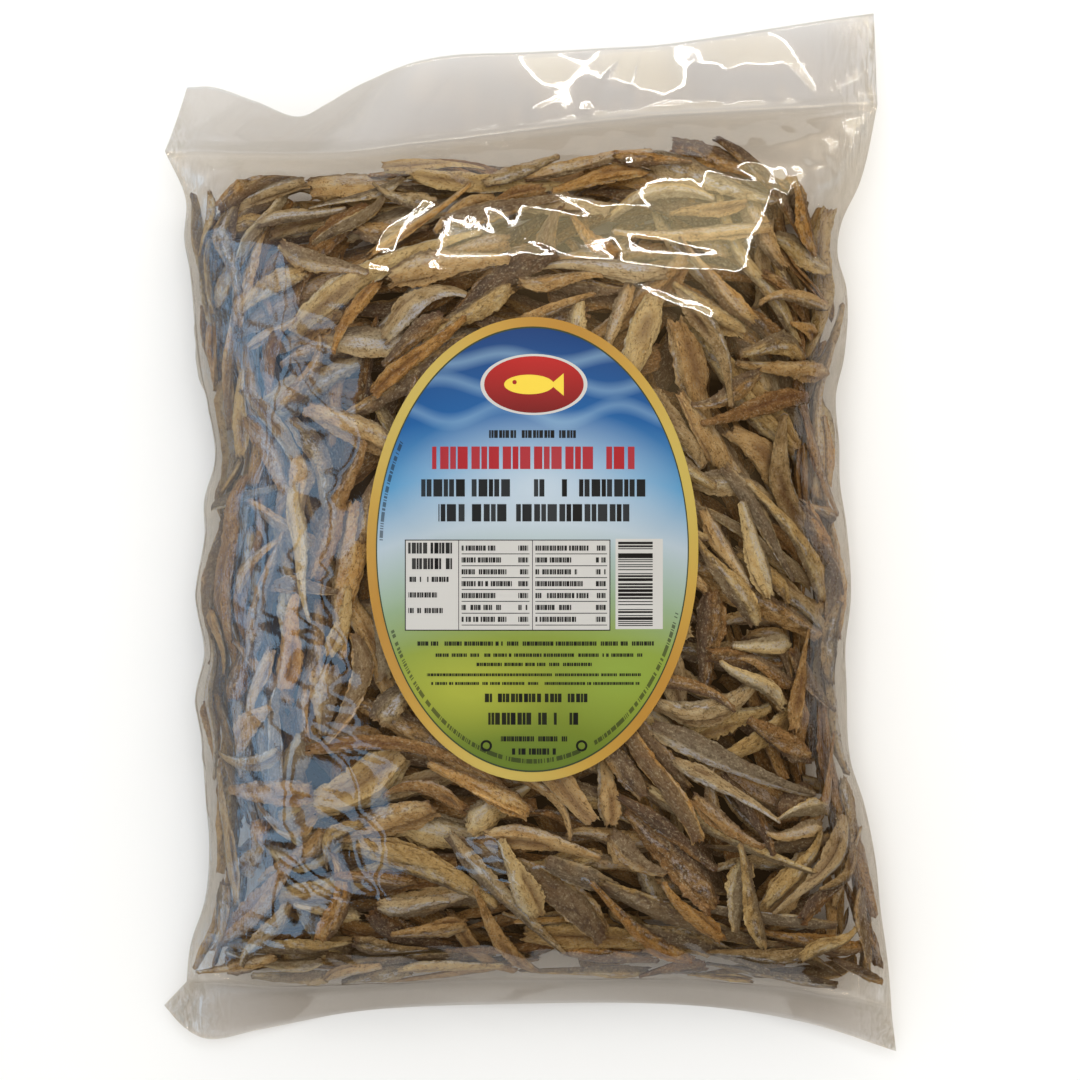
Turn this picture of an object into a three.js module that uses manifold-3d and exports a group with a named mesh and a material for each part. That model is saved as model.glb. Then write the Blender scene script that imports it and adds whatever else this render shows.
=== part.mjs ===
// Clear sealed bag of dried anchovies with an oval label, lying down with its shown side up.
// Millimetres, +X across the bag, +Y towards its header, +Z up; the bag rests on z = 0.
import * as THREE from "three";
import { mergeVertices } from "three/addons/utils/BufferGeometryUtils.js";
import Module from "manifold-3d";

const wasm = await Module();
wasm.setup();

// Driving dimensions
const CROWN = 66; // height of the filled pillow at its middle
const CREASE_Z = 19; // height of the side creases above the table
const WELD_Z = 14; // height of the two end welds
const PLY = 0.9; // both plies of film together, at the flaps and the fins
const FIN = 2.5; // width of the flattened side crease
const FISH_RISE = 3.2; // how far a fish stands out of the mass around it
const FISH_LONG = [44, 66]; // shortest and longest fish
const FISH_WIDE = [8.5, 12]; // narrowest and widest fish
const FISH_COUNT = 92; // fish that press against the shown film
const LABEL = [57.5, 80.5]; // half axes of the oval label
const LABEL_AT = [1.5, -5.2]; // its centre
const LABEL_THICK = 0.4;
const LABEL_GAP = 0.3; // clear of the film below it

// Outlines, as pairs of a place along one axis and the position on the other
const topWeld = [[-131.4, 138.6], [-98, 138], [-65, 138.4], [-39, 141], [0, 146], [46, 151], [90, 153.4], [126, 155.7]];
const lowWeld = [[-123.5, -161.5], [-90, -163.4], [-45, -162], [0, -161], [50, -161], [95, -164.5], [131, -171]];
const leftSide = [
  [-161.5, -123.5], [-147.8, -121.8], [-131.6, -116.6], [-112, -115], [-95, -116.3], [-74, -117.8], [-58, -119.9], [-43, -116.8],
  [-22, -119.9], [0, -116.6], [12, -116.8], [27, -112.9], [45, -115.2], [60, -118.4], [77, -120.3], [95, -122], [106, -124],
  [121, -123.6], [138.6, -131.4],
];
const rightSide = [
  [-171, 131], [-154, 129.4], [-134, 126.6], [-118, 125], [-97, 120.8], [-81, 115.8], [-54, 114.4], [-41, 114], [-22, 116],
  [3, 114.4], [19, 112], [32, 111.8], [50, 110.6], [64, 113.6], [88, 114.5], [101, 111.2], [112, 112.6], [127, 119.4],
  [155.7, 126],
];
const headerEdge = [
  [-121, 158.4], [-112, 158.2], [-96, 152.6], [-80, 147.4], [-72, 152], [-58, 162], [-40, 171.2], [0, 174.9], [48, 178],
  [84, 183], [125, 188.8],
];
const lowEdge = [
  [-132.8, -171.5], [-126, -179], [-118, -183.4], [-99, -180.6], [-65, -174.6], [-20, -171.4], [30, -170.8], [75, -173.6],
  [105, -178.8], [133.8, -188.2],
];

// How far the header's loose edge stands above the top weld, or hangs below it, from left to right
const headerLift = [
  [-121, 20], [-108, 26], [-86, 29], [-70, 24], [-55, 9], [-40, -2], [-20, -7], [10, -9], [35, -6], [60, -9], [90, -7],
  [125, -10],
];

// A smooth line through the points of an outline.
function along(table, at) {
  const last = table.length - 1;
  let i = 0;
  while (i < last - 1 && at > table[i + 1][0]) i++;
  const [a, b] = [table[i], table[i + 1]];
  const span = b[0] - a[0];
  const slope = (p, q) => (q[1] - p[1]) / (q[0] - p[0]);
  const here = slope(a, b);
  const inward = i > 0 ? (slope(table[i - 1], a) + here) / 2 : here;
  const outward = i < last - 1 ? (here + slope(b, table[i + 2])) / 2 : here;
  const t = Math.min(Math.max((at - a[0]) / span, 0), 1);
  const [t2, t3] = [t * t, t * t * t];
  return (2 * t3 - 3 * t2 + 1) * a[1] + (t3 - 2 * t2 + t) * span * inward
    + (3 * t2 - 2 * t3) * b[1] + (t3 - t2) * span * outward;
}

const smooth = (from, to, x) => {
  const t = Math.min(Math.max((x - from) / (to - from), 0), 1);
  return t * t * (3 - 2 * t);
};

// Share of the fill height: across the bag, and from one weld to the other.
const across = (u) => Math.pow(Math.max(1 - Math.pow(Math.abs(u), 3), 0), 0.56);
const lengthways = (t) => Math.pow(Math.max(1 - Math.pow(Math.abs(t), 3.4), 0), 0.6);

// Where a point of the plan lies in the filled part: u from crease to crease, t from weld to weld.
function place(x, y) {
  const left = along(leftSide, y);
  const right = along(rightSide, y);
  const half = (right - left) / 2;
  const inside = half - Math.abs(x - (left + right) / 2) - FIN;
  const u = 1 - Math.max(inside, 0) / (half - FIN);
  const top = along(topWeld, x);
  const low = along(lowWeld, x);
  const t = Math.min(Math.max((2 * y - top - low) / (top - low), -1), 1);
  return { u, t };
}

// Height of the film's middle line, of the crown above it, and of the underside.
function heights(x, y) {
  const { u, t } = place(x, y);
  const b = lengthways(t);
  const a = across(u);
  const crease = WELD_Z + (CREASE_Z - WELD_Z) * Math.sqrt(b);
  const sag = Math.min(1, 1.42 * Math.pow(a, 0.8)) * Math.min(1, 1.5 * Math.pow(b, 0.85));
  return {
    high: crease + PLY / 2 + (CROWN - crease - PLY / 2) * a * b,
    under: (crease - PLY / 2) * (1 - sag * sag * (3 - 2 * sag)),
  };
}

const crown = (x, y) => heights(x, y).high;

function crownNormal(x, y) {
  const d = 0.6;
  const slopeX = (crown(x + d, y) - crown(x - d, y)) / (2 * d);
  const slopeY = (crown(x, y + d) - crown(x, y - d)) / (2 * d);
  return new THREE.Vector3(-slopeX, -slopeY, 1).normalize();
}

// 1 on the label, fading to 0 away from it.
function underLabel(x, y) {
  const r = Math.hypot((x - LABEL_AT[0]) / LABEL[0], (y - LABEL_AT[1]) / LABEL[1]);
  return 1 - smooth(1.01, 1.09, r);
}

// Solids pass through manifold-3d for the unions.
function solid(geometry) {
  const bare = geometry.clone();
  bare.deleteAttribute("normal");
  bare.deleteAttribute("uv");
  const merged = mergeVertices(bare, 1e-4);
  return new wasm.Manifold(new wasm.Mesh({
    numProp: 3,
    vertProperties: new Float32Array(merged.attributes.position.array),
    triVerts: new Uint32Array(merged.index.array),
  }));
}

function geometryOf(made) {
  const mesh = made.getMesh();
  const geometry = new THREE.BufferGeometry();
  const points = new Float32Array(mesh.numVert * 3);
  for (let i = 0; i < mesh.numVert; i++)
    points.set(mesh.vertProperties.subarray(i * mesh.numProp, i * mesh.numProp + 3), i * 3);
  geometry.setAttribute("position", new THREE.BufferAttribute(points, 3));
  geometry.setIndex(new THREE.BufferAttribute(new Uint32Array(mesh.triVerts), 1));
  geometry.computeVertexNormals();
  return geometry;
}

// The bag: one box whose two faces are bent into the shown film and the underside.
const ROWS = { header: 4, body: 22, foot: 2 };
const COLUMNS = 20;
const rowCount = ROWS.header + ROWS.body + ROWS.foot;

function bagPoint(column, row, upper) {
  const share = column / COLUMNS;
  const spread = 2 * share - 1;
  const u = Math.sign(spread) * (1 - Math.pow(1 - Math.abs(spread), 1.28));
  const side = upper ? 1 : -1;
  if (row <= ROWS.header) {
    const s = 1 - row / ROWS.header;
    const weldX = THREE.MathUtils.lerp(-131.4, 126, (u + 1) / 2);
    const edgeX = THREE.MathUtils.lerp(-121, 125, (u + 1) / 2);
    const weldY = along(topWeld, weldX);
    const edgeY = along(headerEdge, edgeX);
    const lift = along(headerLift, edgeX);
    return [
      THREE.MathUtils.lerp(weldX, edgeX, s),
      THREE.MathUtils.lerp(weldY, edgeY, s),
      WELD_Z + lift * s * (0.7 + 0.3 * s) + side * PLY / 2,
    ];
  }
  if (row >= ROWS.header + ROWS.body) {
    const s = (row - ROWS.header - ROWS.body) / ROWS.foot;
    const weldX = THREE.MathUtils.lerp(-123.5, 131, (u + 1) / 2);
    const edgeX = THREE.MathUtils.lerp(-132.8, 133.8, (u + 1) / 2);
    const droop = (WELD_Z - 3 - 2.5 * Math.cos(u * 7)) * s;
    return [
      THREE.MathUtils.lerp(weldX, edgeX, s),
      THREE.MathUtils.lerp(along(lowWeld, weldX), along(lowEdge, edgeX), s),
      WELD_Z - droop + side * PLY / 2,
    ];
  }
  const run = (row - ROWS.header) / ROWS.body;
  const v = 0.5 - 0.5 * Math.sign(0.5 - run) * (1 - Math.pow(1 - Math.abs(1 - 2 * run), 1.3));
  let x = 0;
  let y = 0;
  for (let pass = 0; pass < 12; pass++) {
    x = THREE.MathUtils.lerp(along(leftSide, y), along(rightSide, y), (u + 1) / 2);
    y = THREE.MathUtils.lerp(along(topWeld, x), along(lowWeld, x), v);
  }
  const { high, under } = heights(x, y);
  const rise = FISH_RISE * smooth(0, 18, high - under - PLY) * (1 - underLabel(x, y));
  return [x, y, upper ? high - rise : under];
}

function bagBody() {
  const geometry = new THREE.BoxGeometry(COLUMNS, rowCount, 2, COLUMNS, rowCount, 1);
  const at = geometry.attributes.position;
  for (let i = 0; i < at.count; i++) {
    const column = Math.round(at.getX(i) + COLUMNS / 2);
    const row = Math.round(rowCount / 2 - at.getY(i));
    at.setXYZ(i, ...bagPoint(column, row, at.getZ(i) > 0));
  }
  return solid(geometry);
}

// Random numbers that are the same on every run.
function seeded(seed) {
  let state = seed;
  return () => {
    state = (state + 0x6d2b79f5) | 0;
    let mixed = Math.imul(state ^ (state >>> 15), 1 | state);
    mixed = (mixed + Math.imul(mixed ^ (mixed >>> 7), 61 | mixed)) ^ mixed;
    return ((mixed ^ (mixed >>> 14)) >>> 0) / 4294967296;
  };
}
const random = seeded(20417);
const between = (low, high) => low + (high - low) * random();

// The way the fish lie in each part of the bag, in degrees from +X.
function lie(x, y) {
  const zones = [
    { at: [-95, 20], reach: 45, turn: 100 }, { at: [-80, 110], reach: 50, turn: 20 }, { at: [10, 115], reach: 55, turn: 8 },
    { at: [85, 105], reach: 42, turn: -25 }, { at: [88, 20], reach: 48, turn: -58 }, { at: [88, -60], reach: 42, turn: -15 },
    { at: [50, -115], reach: 45, turn: -50 }, { at: [-25, -118], reach: 45, turn: -22 }, { at: [-90, -60], reach: 42, turn: 75 },
    { at: [-80, -130], reach: 42, turn: 12 }, { at: [105, -135], reach: 35, turn: 35 },
  ];
  let [c, s] = [0, 0];
  for (const { at, reach, turn } of zones) {
    const near = Math.exp(-Math.pow(Math.hypot(x - at[0], y - at[1]) / reach, 2));
    c += near * Math.cos(THREE.MathUtils.degToRad(2 * turn));
    s += near * Math.sin(THREE.MathUtils.degToRad(2 * turn));
  }
  return Math.atan2(s, c) / 2;
}

// One dried fish: blunt at the cut head end, widest before the middle, drawn out to the tail, and a little bent.
function fishOn(x, y, turn, long, wide) {
  const geometry = new THREE.SphereGeometry(1, 5, 5);
  geometry.rotateZ(Math.PI / 2);
  const at = geometry.attributes.position;
  const bend = between(-5, 5);
  const deep = wide * between(0.62, 0.8);
  const [c, s] = [Math.cos(turn), Math.sin(turn)];
  for (let i = 0; i < at.count; i++) {
    const a = at.getX(i);
    const taper = a < 0 ? 1 - 0.12 * a * a : 1 - 0.5 * a;
    const off = at.getY(i) * wide / 2 * taper + bend * (a * a - 0.35);
    const run = a * long / 2;
    const px = x + run * c - off * s;
    const py = y + run * s + off * c;
    const normal = crownNormal(px, py);
    const lift = (at.getZ(i) - 1) * deep / 2 * taper;
    at.setXYZ(i, px + normal.x * lift, py + normal.y * lift, crown(px, py) + normal.z * lift);
  }
  return solid(geometry);
}

function fishLayer() {
  const laid = [];
  for (let tries = 0; tries < 40000 && laid.length < FISH_COUNT; tries++) {
    const x = between(-118, 122);
    const y = between(-158, 146);
    const long = between(...FISH_LONG);
    const wide = between(...FISH_WIDE);
    const turn = lie(x, y) + (random() + random() - 1) * 0.5;
    const ends = [-0.5, -0.25, 0, 0.25, 0.5].map((k) => [x + k * long * Math.cos(turn), y + k * long * Math.sin(turn)]);
    const onFilm = ends.every(([px, py]) => {
      const { u, t } = place(px, py);
      const clear = Math.hypot((px - LABEL_AT[0]) / (LABEL[0] + 6), (py - LABEL_AT[1]) / (LABEL[1] + 6)) > 1;
      return u < 0.93 && Math.abs(t) < 0.95 && clear;
    });
    if (!onFilm) continue;
    const free = laid.every((other) => ends.every(([px, py]) => {
      const [dx, dy] = [px - other.x, py - other.y];
      const run = Math.abs(dx * Math.cos(other.turn) + dy * Math.sin(other.turn));
      const off = Math.abs(dy * Math.cos(other.turn) - dx * Math.sin(other.turn));
      return run > other.long * 0.4 || off > (other.wide + wide) * 0.3;
    }));
    if (!free) continue;
    laid.push({ x, y, turn, long, wide });
  }
  console.log("fish laid:", laid.length);
  return laid.map(({ x, y, turn, long, wide }) => fishOn(x, y, turn, long, wide));
}

// The label: a thin oval that follows the crown.
function labelPlate() {
  const profile = [[0, 1], [0.25, 1], [0.5, 1], [0.75, 1], [1, 1], [1, 0], [0.75, 0], [0.5, 0], [0.25, 0], [0, 0]]
    .map(([r, level]) => new THREE.Vector2(r, -level));
  const geometry = new THREE.LatheGeometry(profile, 44);
  const at = geometry.attributes.position;
  for (let i = 0; i < at.count; i++) {
    const x = LABEL_AT[0] + at.getX(i) * LABEL[0];
    const y = LABEL_AT[1] + at.getZ(i) * LABEL[1];
    at.setXYZ(i, x, y, crown(x, y) + LABEL_GAP - at.getY(i) * LABEL_THICK + 0.35);
  }
  return solid(geometry);
}

const group = new THREE.Group();
group.name = "bag_of_dried_anchovies";

const bag = new THREE.Mesh(
  geometryOf(bagBody().add(wasm.Manifold.union(fishLayer()))),
  new THREE.MeshStandardMaterial({ color: 0x7d684c, roughness: 0.35, metalness: 0 }),
);
bag.name = "bag";
group.add(bag);

const label = new THREE.Mesh(
  geometryOf(labelPlate()),
  new THREE.MeshStandardMaterial({ color: 0x8fa9a0, roughness: 0.3, metalness: 0 }),
);
label.name = "label";
group.add(label);

// The frame's origin is under the middle of the whole bag, on the table.
const bounds = new THREE.Box3().setFromObject(group);
group.position.set(-(bounds.min.x + bounds.max.x) / 2, -(bounds.min.y + bounds.max.y) / 2, -bounds.min.z);

export default group;
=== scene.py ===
# %% [markdown]
# # A clear bag of dried anchovies
# The bag lies on its back with its label up. It is a tube of clear film, welded across at both ends,
# so it has two soft side creases and a loose flap at each end. This lesson builds it from the inside
# out: a dark middle, the loose fish, the film that rests on them, and the oval label on top.

import math

import bmesh
import bpy
import numpy as np
from mathutils import Matrix
from mathutils import Vector


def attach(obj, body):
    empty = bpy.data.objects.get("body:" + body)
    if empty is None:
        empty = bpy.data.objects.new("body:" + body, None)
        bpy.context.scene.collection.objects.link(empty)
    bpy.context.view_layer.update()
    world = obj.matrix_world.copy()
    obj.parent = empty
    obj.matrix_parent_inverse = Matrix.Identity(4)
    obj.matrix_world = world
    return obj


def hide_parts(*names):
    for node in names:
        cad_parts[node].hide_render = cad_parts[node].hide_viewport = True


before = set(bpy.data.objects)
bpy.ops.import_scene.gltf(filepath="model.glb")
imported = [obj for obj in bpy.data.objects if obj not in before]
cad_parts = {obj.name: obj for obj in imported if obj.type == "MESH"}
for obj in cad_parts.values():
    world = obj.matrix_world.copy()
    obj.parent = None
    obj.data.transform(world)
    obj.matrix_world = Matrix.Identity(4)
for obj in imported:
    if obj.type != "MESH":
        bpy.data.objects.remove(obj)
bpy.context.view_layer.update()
MM = 0.001

# %% [markdown]
# The outlines are measured in millimetres, as pairs of a place along one axis and the position on
# the other. A smooth curve through the pairs gives the outline anywhere. The same pairs give the
# solid its outline. Only the slope of the header flap and the width of the flattened side creases
# are the film's own.

# %% The bag's outlines
CROWN = 66.0
CREASE_Z = 19.0
WELD_Z = 14.0
# both plies together, and the width of the flattened side crease
PLY = 0.9
FIN = 0.9
LABEL_HALF = (57.5, 80.5)
LABEL_AT = (1.5, -5.2)
# from the outline's own centre to the middle of its box
OFFSET = np.array([0.5, 0.3, 0.0])

# the two welds, as y along x
TOP_WELD = [
    (-131.4, 138.6), (-98, 138), (-65, 138.4), (-39, 141), (0, 146), (46, 151), (90, 153.4),
    (126, 155.7),
]
LOW_WELD = [
    (-123.5, -161.5), (-90, -163.4), (-45, -162), (0, -161), (50, -161), (95, -164.5), (131, -171),
]
# the two sides, as x along y
LEFT_SIDE = [
    (-161.5, -123.5), (-147.8, -121.8), (-131.6, -116.6), (-112, -115), (-95, -116.3), (-74, -117.8),
    (-58, -119.9), (-43, -116.8), (-22, -119.9), (0, -116.6), (12, -116.8), (27, -112.9), (45, -115.2),
    (60, -118.4), (77, -120.3), (95, -122), (106, -124), (121, -123.6), (138.6, -131.4),
]
RIGHT_SIDE = [
    (-171, 131), (-154, 129.4), (-134, 126.6), (-118, 125), (-97, 120.8), (-81, 115.8), (-54, 114.4),
    (-41, 114), (-22, 116), (3, 114.4), (19, 112), (32, 111.8), (50, 110.6), (64, 113.6), (88, 114.5),
    (101, 111.2), (112, 112.6), (127, 119.4), (155.7, 126),
]
# the loose edges of the flaps, as y along x
HEADER_EDGE = [
    (-121, 158.4), (-112, 158.2), (-96, 152.6), (-80, 147.4), (-72, 152), (-58, 162), (-40, 171.2),
    (0, 174.9), (48, 178), (84, 183), (125, 188.8),
]
LOW_EDGE = [
    (-132.8, -171.5), (-126, -179), (-118, -183.4), (-99, -180.6), (-65, -174.6), (-20, -171.4),
    (30, -170.8), (75, -173.6), (105, -178.8), (133.8, -188.2),
]
# how far the header's loose edge rises over its weld, along x
HEADER_LIFT = [
    (-121, 23), (-108, 27), (-86, 29), (-70, 24), (-55, 9), (-40, -1), (-20, -3), (5, -4), (30, -5),
    (60, -5.5), (90, -4), (108, -2.5), (125, -3),
]
# where the fish end below the top weld, as y along x
FISH_TOP = [
    (-130, 118), (-119, 124), (-101, 132), (-83, 134.5), (-62, 136), (-29, 140.5), (25, 142.5),
    (58, 144.5), (83, 141), (97, 129), (115, 124), (130, 118),
]

print("top weld from x", TOP_WELD[0][0], "to", TOP_WELD[-1][0], "mm")
print("low weld from x", LOW_WELD[0][0], "to", LOW_WELD[-1][0], "mm")

# %% [markdown]
# Two helpers do most of the shaping. One draws a smooth curve through a table of points, and one
# eases from 0 to 1. With them the pillow's height follows from how far a place is from the creases
# and from the welds: high and nearly flat in the middle, and round towards the rim.

# %% The pillow's heights
# how square the pillow is: power of the share from the middle, and power of what is left
SQUARE_ACROSS = (3, 0.56)
SQUARE_ALONG = (3.4, 0.6)
# how soon the underside comes to rest on the table
SAG_ACROSS = (1.42, 0.8)
SAG_ALONG = (1.5, 0.85)


def along(table, at):
    """The smooth curve through a table's points, at one place or at many."""
    points = np.array(table, float)
    at = np.asarray(at, float)
    i = np.clip(np.searchsorted(points[:, 0], at, side="left") - 1, 0, len(points) - 2)
    slopes = np.diff(points[:, 1]) / np.diff(points[:, 0])
    middles = (slopes[:-1] + slopes[1:]) / 2
    first = np.concatenate([slopes[:1], middles])[i]
    last = np.concatenate([middles, slopes[-1:]])[i]
    span = np.diff(points[:, 0])[i]
    t = np.clip((at - points[i, 0]) / span, 0, 1)
    return (
        (2 * t**3 - 3 * t**2 + 1) * points[i, 1]
        + (t**3 - 2 * t**2 + t) * span * first
        + (3 * t**2 - 2 * t**3) * points[i + 1, 1]
        + (t**3 - t**2) * span * last
    )


def smooth(low, high, x):
    """0 below low, 1 above high, and an even S between."""
    t = np.clip((np.asarray(x, float) - low) / (high - low), 0, 1)
    return t * t * (3 - 2 * t)


def heights(x, y):
    """Height of the shown film and of the underside, at any place in the filled part."""
    left = along(LEFT_SIDE, y)
    right = along(RIGHT_SIDE, y)
    half = (right - left) / 2
    inside = half - np.abs(x - (left + right) / 2) - FIN
    u = 1 - np.maximum(inside, 0) / (half - FIN)
    top = along(TOP_WELD, x)
    low = along(LOW_WELD, x)
    t = np.clip((2 * y - top - low) / (top - low), -1, 1)
    a = np.maximum(1 - np.abs(u) ** SQUARE_ACROSS[0], 0) ** SQUARE_ACROSS[1]
    b = np.maximum(1 - np.abs(t) ** SQUARE_ALONG[0], 0) ** SQUARE_ALONG[1]
    crease = WELD_Z + (CREASE_Z - WELD_Z) * np.sqrt(b)
    high = crease + PLY / 2 + (CROWN - crease - PLY / 2) * a * b
    sag = np.minimum(1, SAG_ACROSS[0] * a ** SAG_ACROSS[1])
    sag = sag * np.minimum(1, SAG_ALONG[0] * b ** SAG_ALONG[1])
    under = (crease - PLY / 2) * (1 - sag * sag * (3 - 2 * sag))
    return high, under


print("height over the label's centre:", round(float(heights(LABEL_AT[0], LABEL_AT[1])[0]), 1), "mm")

# %% [markdown]
# Fish and film both follow the bag's rounded sides, so it helps to unroll each side of the pillow
# into a flat sheet. A place on the sheet is a distance across and a distance along, in millimetres,
# and a depth below the film. One grid of points and normals, a millimetre apart, turns such a place
# into a point in space.

# %% Unroll the two sides of the pillow
CELL = 1.0
# points on the first grid each way, before it is made even
DENSE = 420
# clearance that the heap keeps from the middle of the bag
HALF_GAP = 0.6
# x and y depend on each other, so both are found by going round this often
ROUNDS = 14


def plan_place(across, lengthways):
    """x and y of a share from crease to crease and a share from the top weld to the low one."""
    x = np.zeros_like(across)
    y = np.zeros_like(across)
    for _ in range(ROUNDS):
        x = along(LEFT_SIDE, y) * (1 - across) + along(RIGHT_SIDE, y) * across
        y = along(TOP_WELD, x) * (1 - lengthways) + along(LOW_WELD, x) * lengthways
    return x, y


def evenly(points, count):
    """Every row of points moved along its own line until they are evenly spaced."""
    steps = np.linalg.norm(np.diff(points, axis=1), axis=2)
    run = np.concatenate([np.zeros((len(points), 1)), np.cumsum(steps, axis=1)], axis=1)
    share = np.linspace(0, 1, count)
    made = np.empty((len(points), count, 3))
    for row, line in enumerate(points):
        for axis in range(3):
            made[row, :, axis] = np.interp(share * run[row, -1], run[row], line[:, axis])
    return made, float(np.median(run[:, -1]))


class Side:
    """One side of the filled pillow, unrolled."""

    def __init__(self, upper):
        dense = (1 - np.cos(np.linspace(0, math.pi, DENSE))) / 2
        c, r = np.meshgrid(dense, dense)
        x, y = plan_place(c, r)
        high, under = heights(x, y)
        points = np.stack([x, y, high if upper else under], axis=2)
        width = int(np.median(np.linalg.norm(np.diff(points, axis=1), axis=2).sum(1)) / CELL)
        points, self.width = evenly(points, width)
        length = int(np.median(np.linalg.norm(np.diff(points, axis=0), axis=2).sum(0)) / CELL)
        points, self.length = evenly(points.transpose(1, 0, 2), length)
        self.points = points.transpose(1, 0, 2).copy()
        run_across = np.gradient(self.points, axis=1)
        run_along = np.gradient(self.points, axis=0)
        normals = np.cross(run_along, run_across) if upper else np.cross(run_across, run_along)
        normals /= np.linalg.norm(normals, axis=2, keepdims=True) + 1e-12
        self.normals = normals
        high, under = heights(self.points[:, :, 0], self.points[:, :, 1])
        upright = np.maximum(np.abs(normals[:, :, 2]), 0.18)
        self.room = (high - under) / 2 / upright - HALF_GAP
        self.rows, self.cols = self.room.shape

    def sample(self, field, c, r):
        """A field of the sheet at shares c across and r along."""
        col = np.clip(np.asarray(c, float), 0, 1) * (self.cols - 1)
        row = np.clip(np.asarray(r, float), 0, 1) * (self.rows - 1)
        c0 = np.minimum(col.astype(int), self.cols - 2)
        r0 = np.minimum(row.astype(int), self.rows - 2)
        fc = col - c0
        fr = row - r0
        if field.ndim == 3:
            fc = fc[..., None]
            fr = fr[..., None]
        upper = field[r0, c0] * (1 - fc) + field[r0, c0 + 1] * fc
        lower = field[r0 + 1, c0] * (1 - fc) + field[r0 + 1, c0 + 1] * fc
        return upper * (1 - fr) + lower * fr

    def point(self, c, r, depth):
        """Points in millimetres at that depth below the film."""
        inward = self.sample(self.normals, c, r) * np.asarray(depth)[..., None]
        return self.sample(self.points, c, r) - inward


front = Side(True)
back = Side(False)
print("front sheet", front.rows, "x", front.cols, "cells, back sheet", back.rows, "x", back.cols)

# %% [markdown]
# Dried anchovies slide into bundles that lie much the same way, and each part of this bag has its own
# way. A few zones give the turn, and every fish follows the nearest ones and strays a little.

# %% The way the fish lie
# x, y, reach and turn in degrees from +X
ZONES = [
    (-95, 20, 45, 100), (-80, 110, 50, 20), (10, 115, 55, 8), (85, 105, 42, -38), (88, 20, 48, -58),
    (88, -60, 42, -15), (50, -115, 45, -50), (-25, -118, 45, -22), (-90, -60, 42, 75),
    (-80, -130, 42, 12), (105, -135, 35, 35),
]


def lie(x, y):
    """The turn of the fish at a place of the plan, in radians from +X."""
    c = np.zeros_like(x)
    s = np.zeros_like(x)
    for zone_x, zone_y, reach, turn in ZONES:
        near = np.exp(-((x - zone_x) ** 2 + (y - zone_y) ** 2) / reach**2)
        c = c + near * math.cos(math.radians(2 * turn))
        s = s + near * math.sin(math.radians(2 * turn))
    return np.arctan2(s, c) / 2


print("zones of direction:", len(ZONES))

# %% [markdown]
# Real fish of this kind are 4 to 9 cm long, flat, and widest a third of the way along. Some are broken.
# Their sizes are drawn at random round a mean, and one curve says how wide a fish is along its length.

# %% Size and outline of a fish
# mean, spread, least and most of a fish's length and width
LONG = (60, 11, 38, 92)
WIDE = (10.6, 2.2, 6.0, 15.0)
# broken fish: their share of all, and their length from and to
BROKEN = (0.1, 24, 38)
# thickness as a share of width
FLAT = (0.4, 0.7)


def girth(s):
    """Share of the full width along a fish: blunt cut end at -1, widest early, drawn out to the tail."""
    head = 0.6 + 0.4 * smooth(-1.02, -0.5, s)
    tail = np.clip((1 - s) / 1.3, 0, 1) ** 0.9
    ends = np.clip((s + 1) / 0.05, 0, 1) ** 0.5 * np.clip((1 - s) / 0.04, 0, 1) ** 0.5
    stub = 1 + 0.3 * np.exp(-(((s - 0.96) / 0.05) ** 2))
    return head * (0.26 + 0.74 * tail) * stub * ends


print("width from cut end to tail:", [round(float(girth(s)), 2) for s in np.linspace(-0.9, 0.9, 7)])

# %% [markdown]
# A simulation of hundreds of stiff fish would be slow and hard to steer. Instead each fish is laid in
# turn on a map of how deep the heap's top lies below the film. Of many tries, the one that settles
# deepest is kept: a straight line through its two lowest supports gives its tilt, as for a stick laid
# on stones. Then the map rises under it. The bag is full when nothing more fits below the film.

# %% Lay the fish
# A fish is tested at these shares of its length, and of its width at each of them.
STATIONS = np.linspace(-1, 1, 15)
RIBS = np.linspace(-0.8, 0.8, 5)
# each pair of supports that could carry it, one in either half
PAIRS = [(i, j) for i in range(8) for j in range(7, 15) if i != j]
PAIR_I = np.array([i for i, _ in PAIRS])
PAIR_J = np.array([j for _, j in PAIRS])
# how much a fish may tilt along its length
STEEPEST = 0.26
# a bend or curl is a bow whose ends and middle even out to nothing
BOW = 0.33


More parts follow.
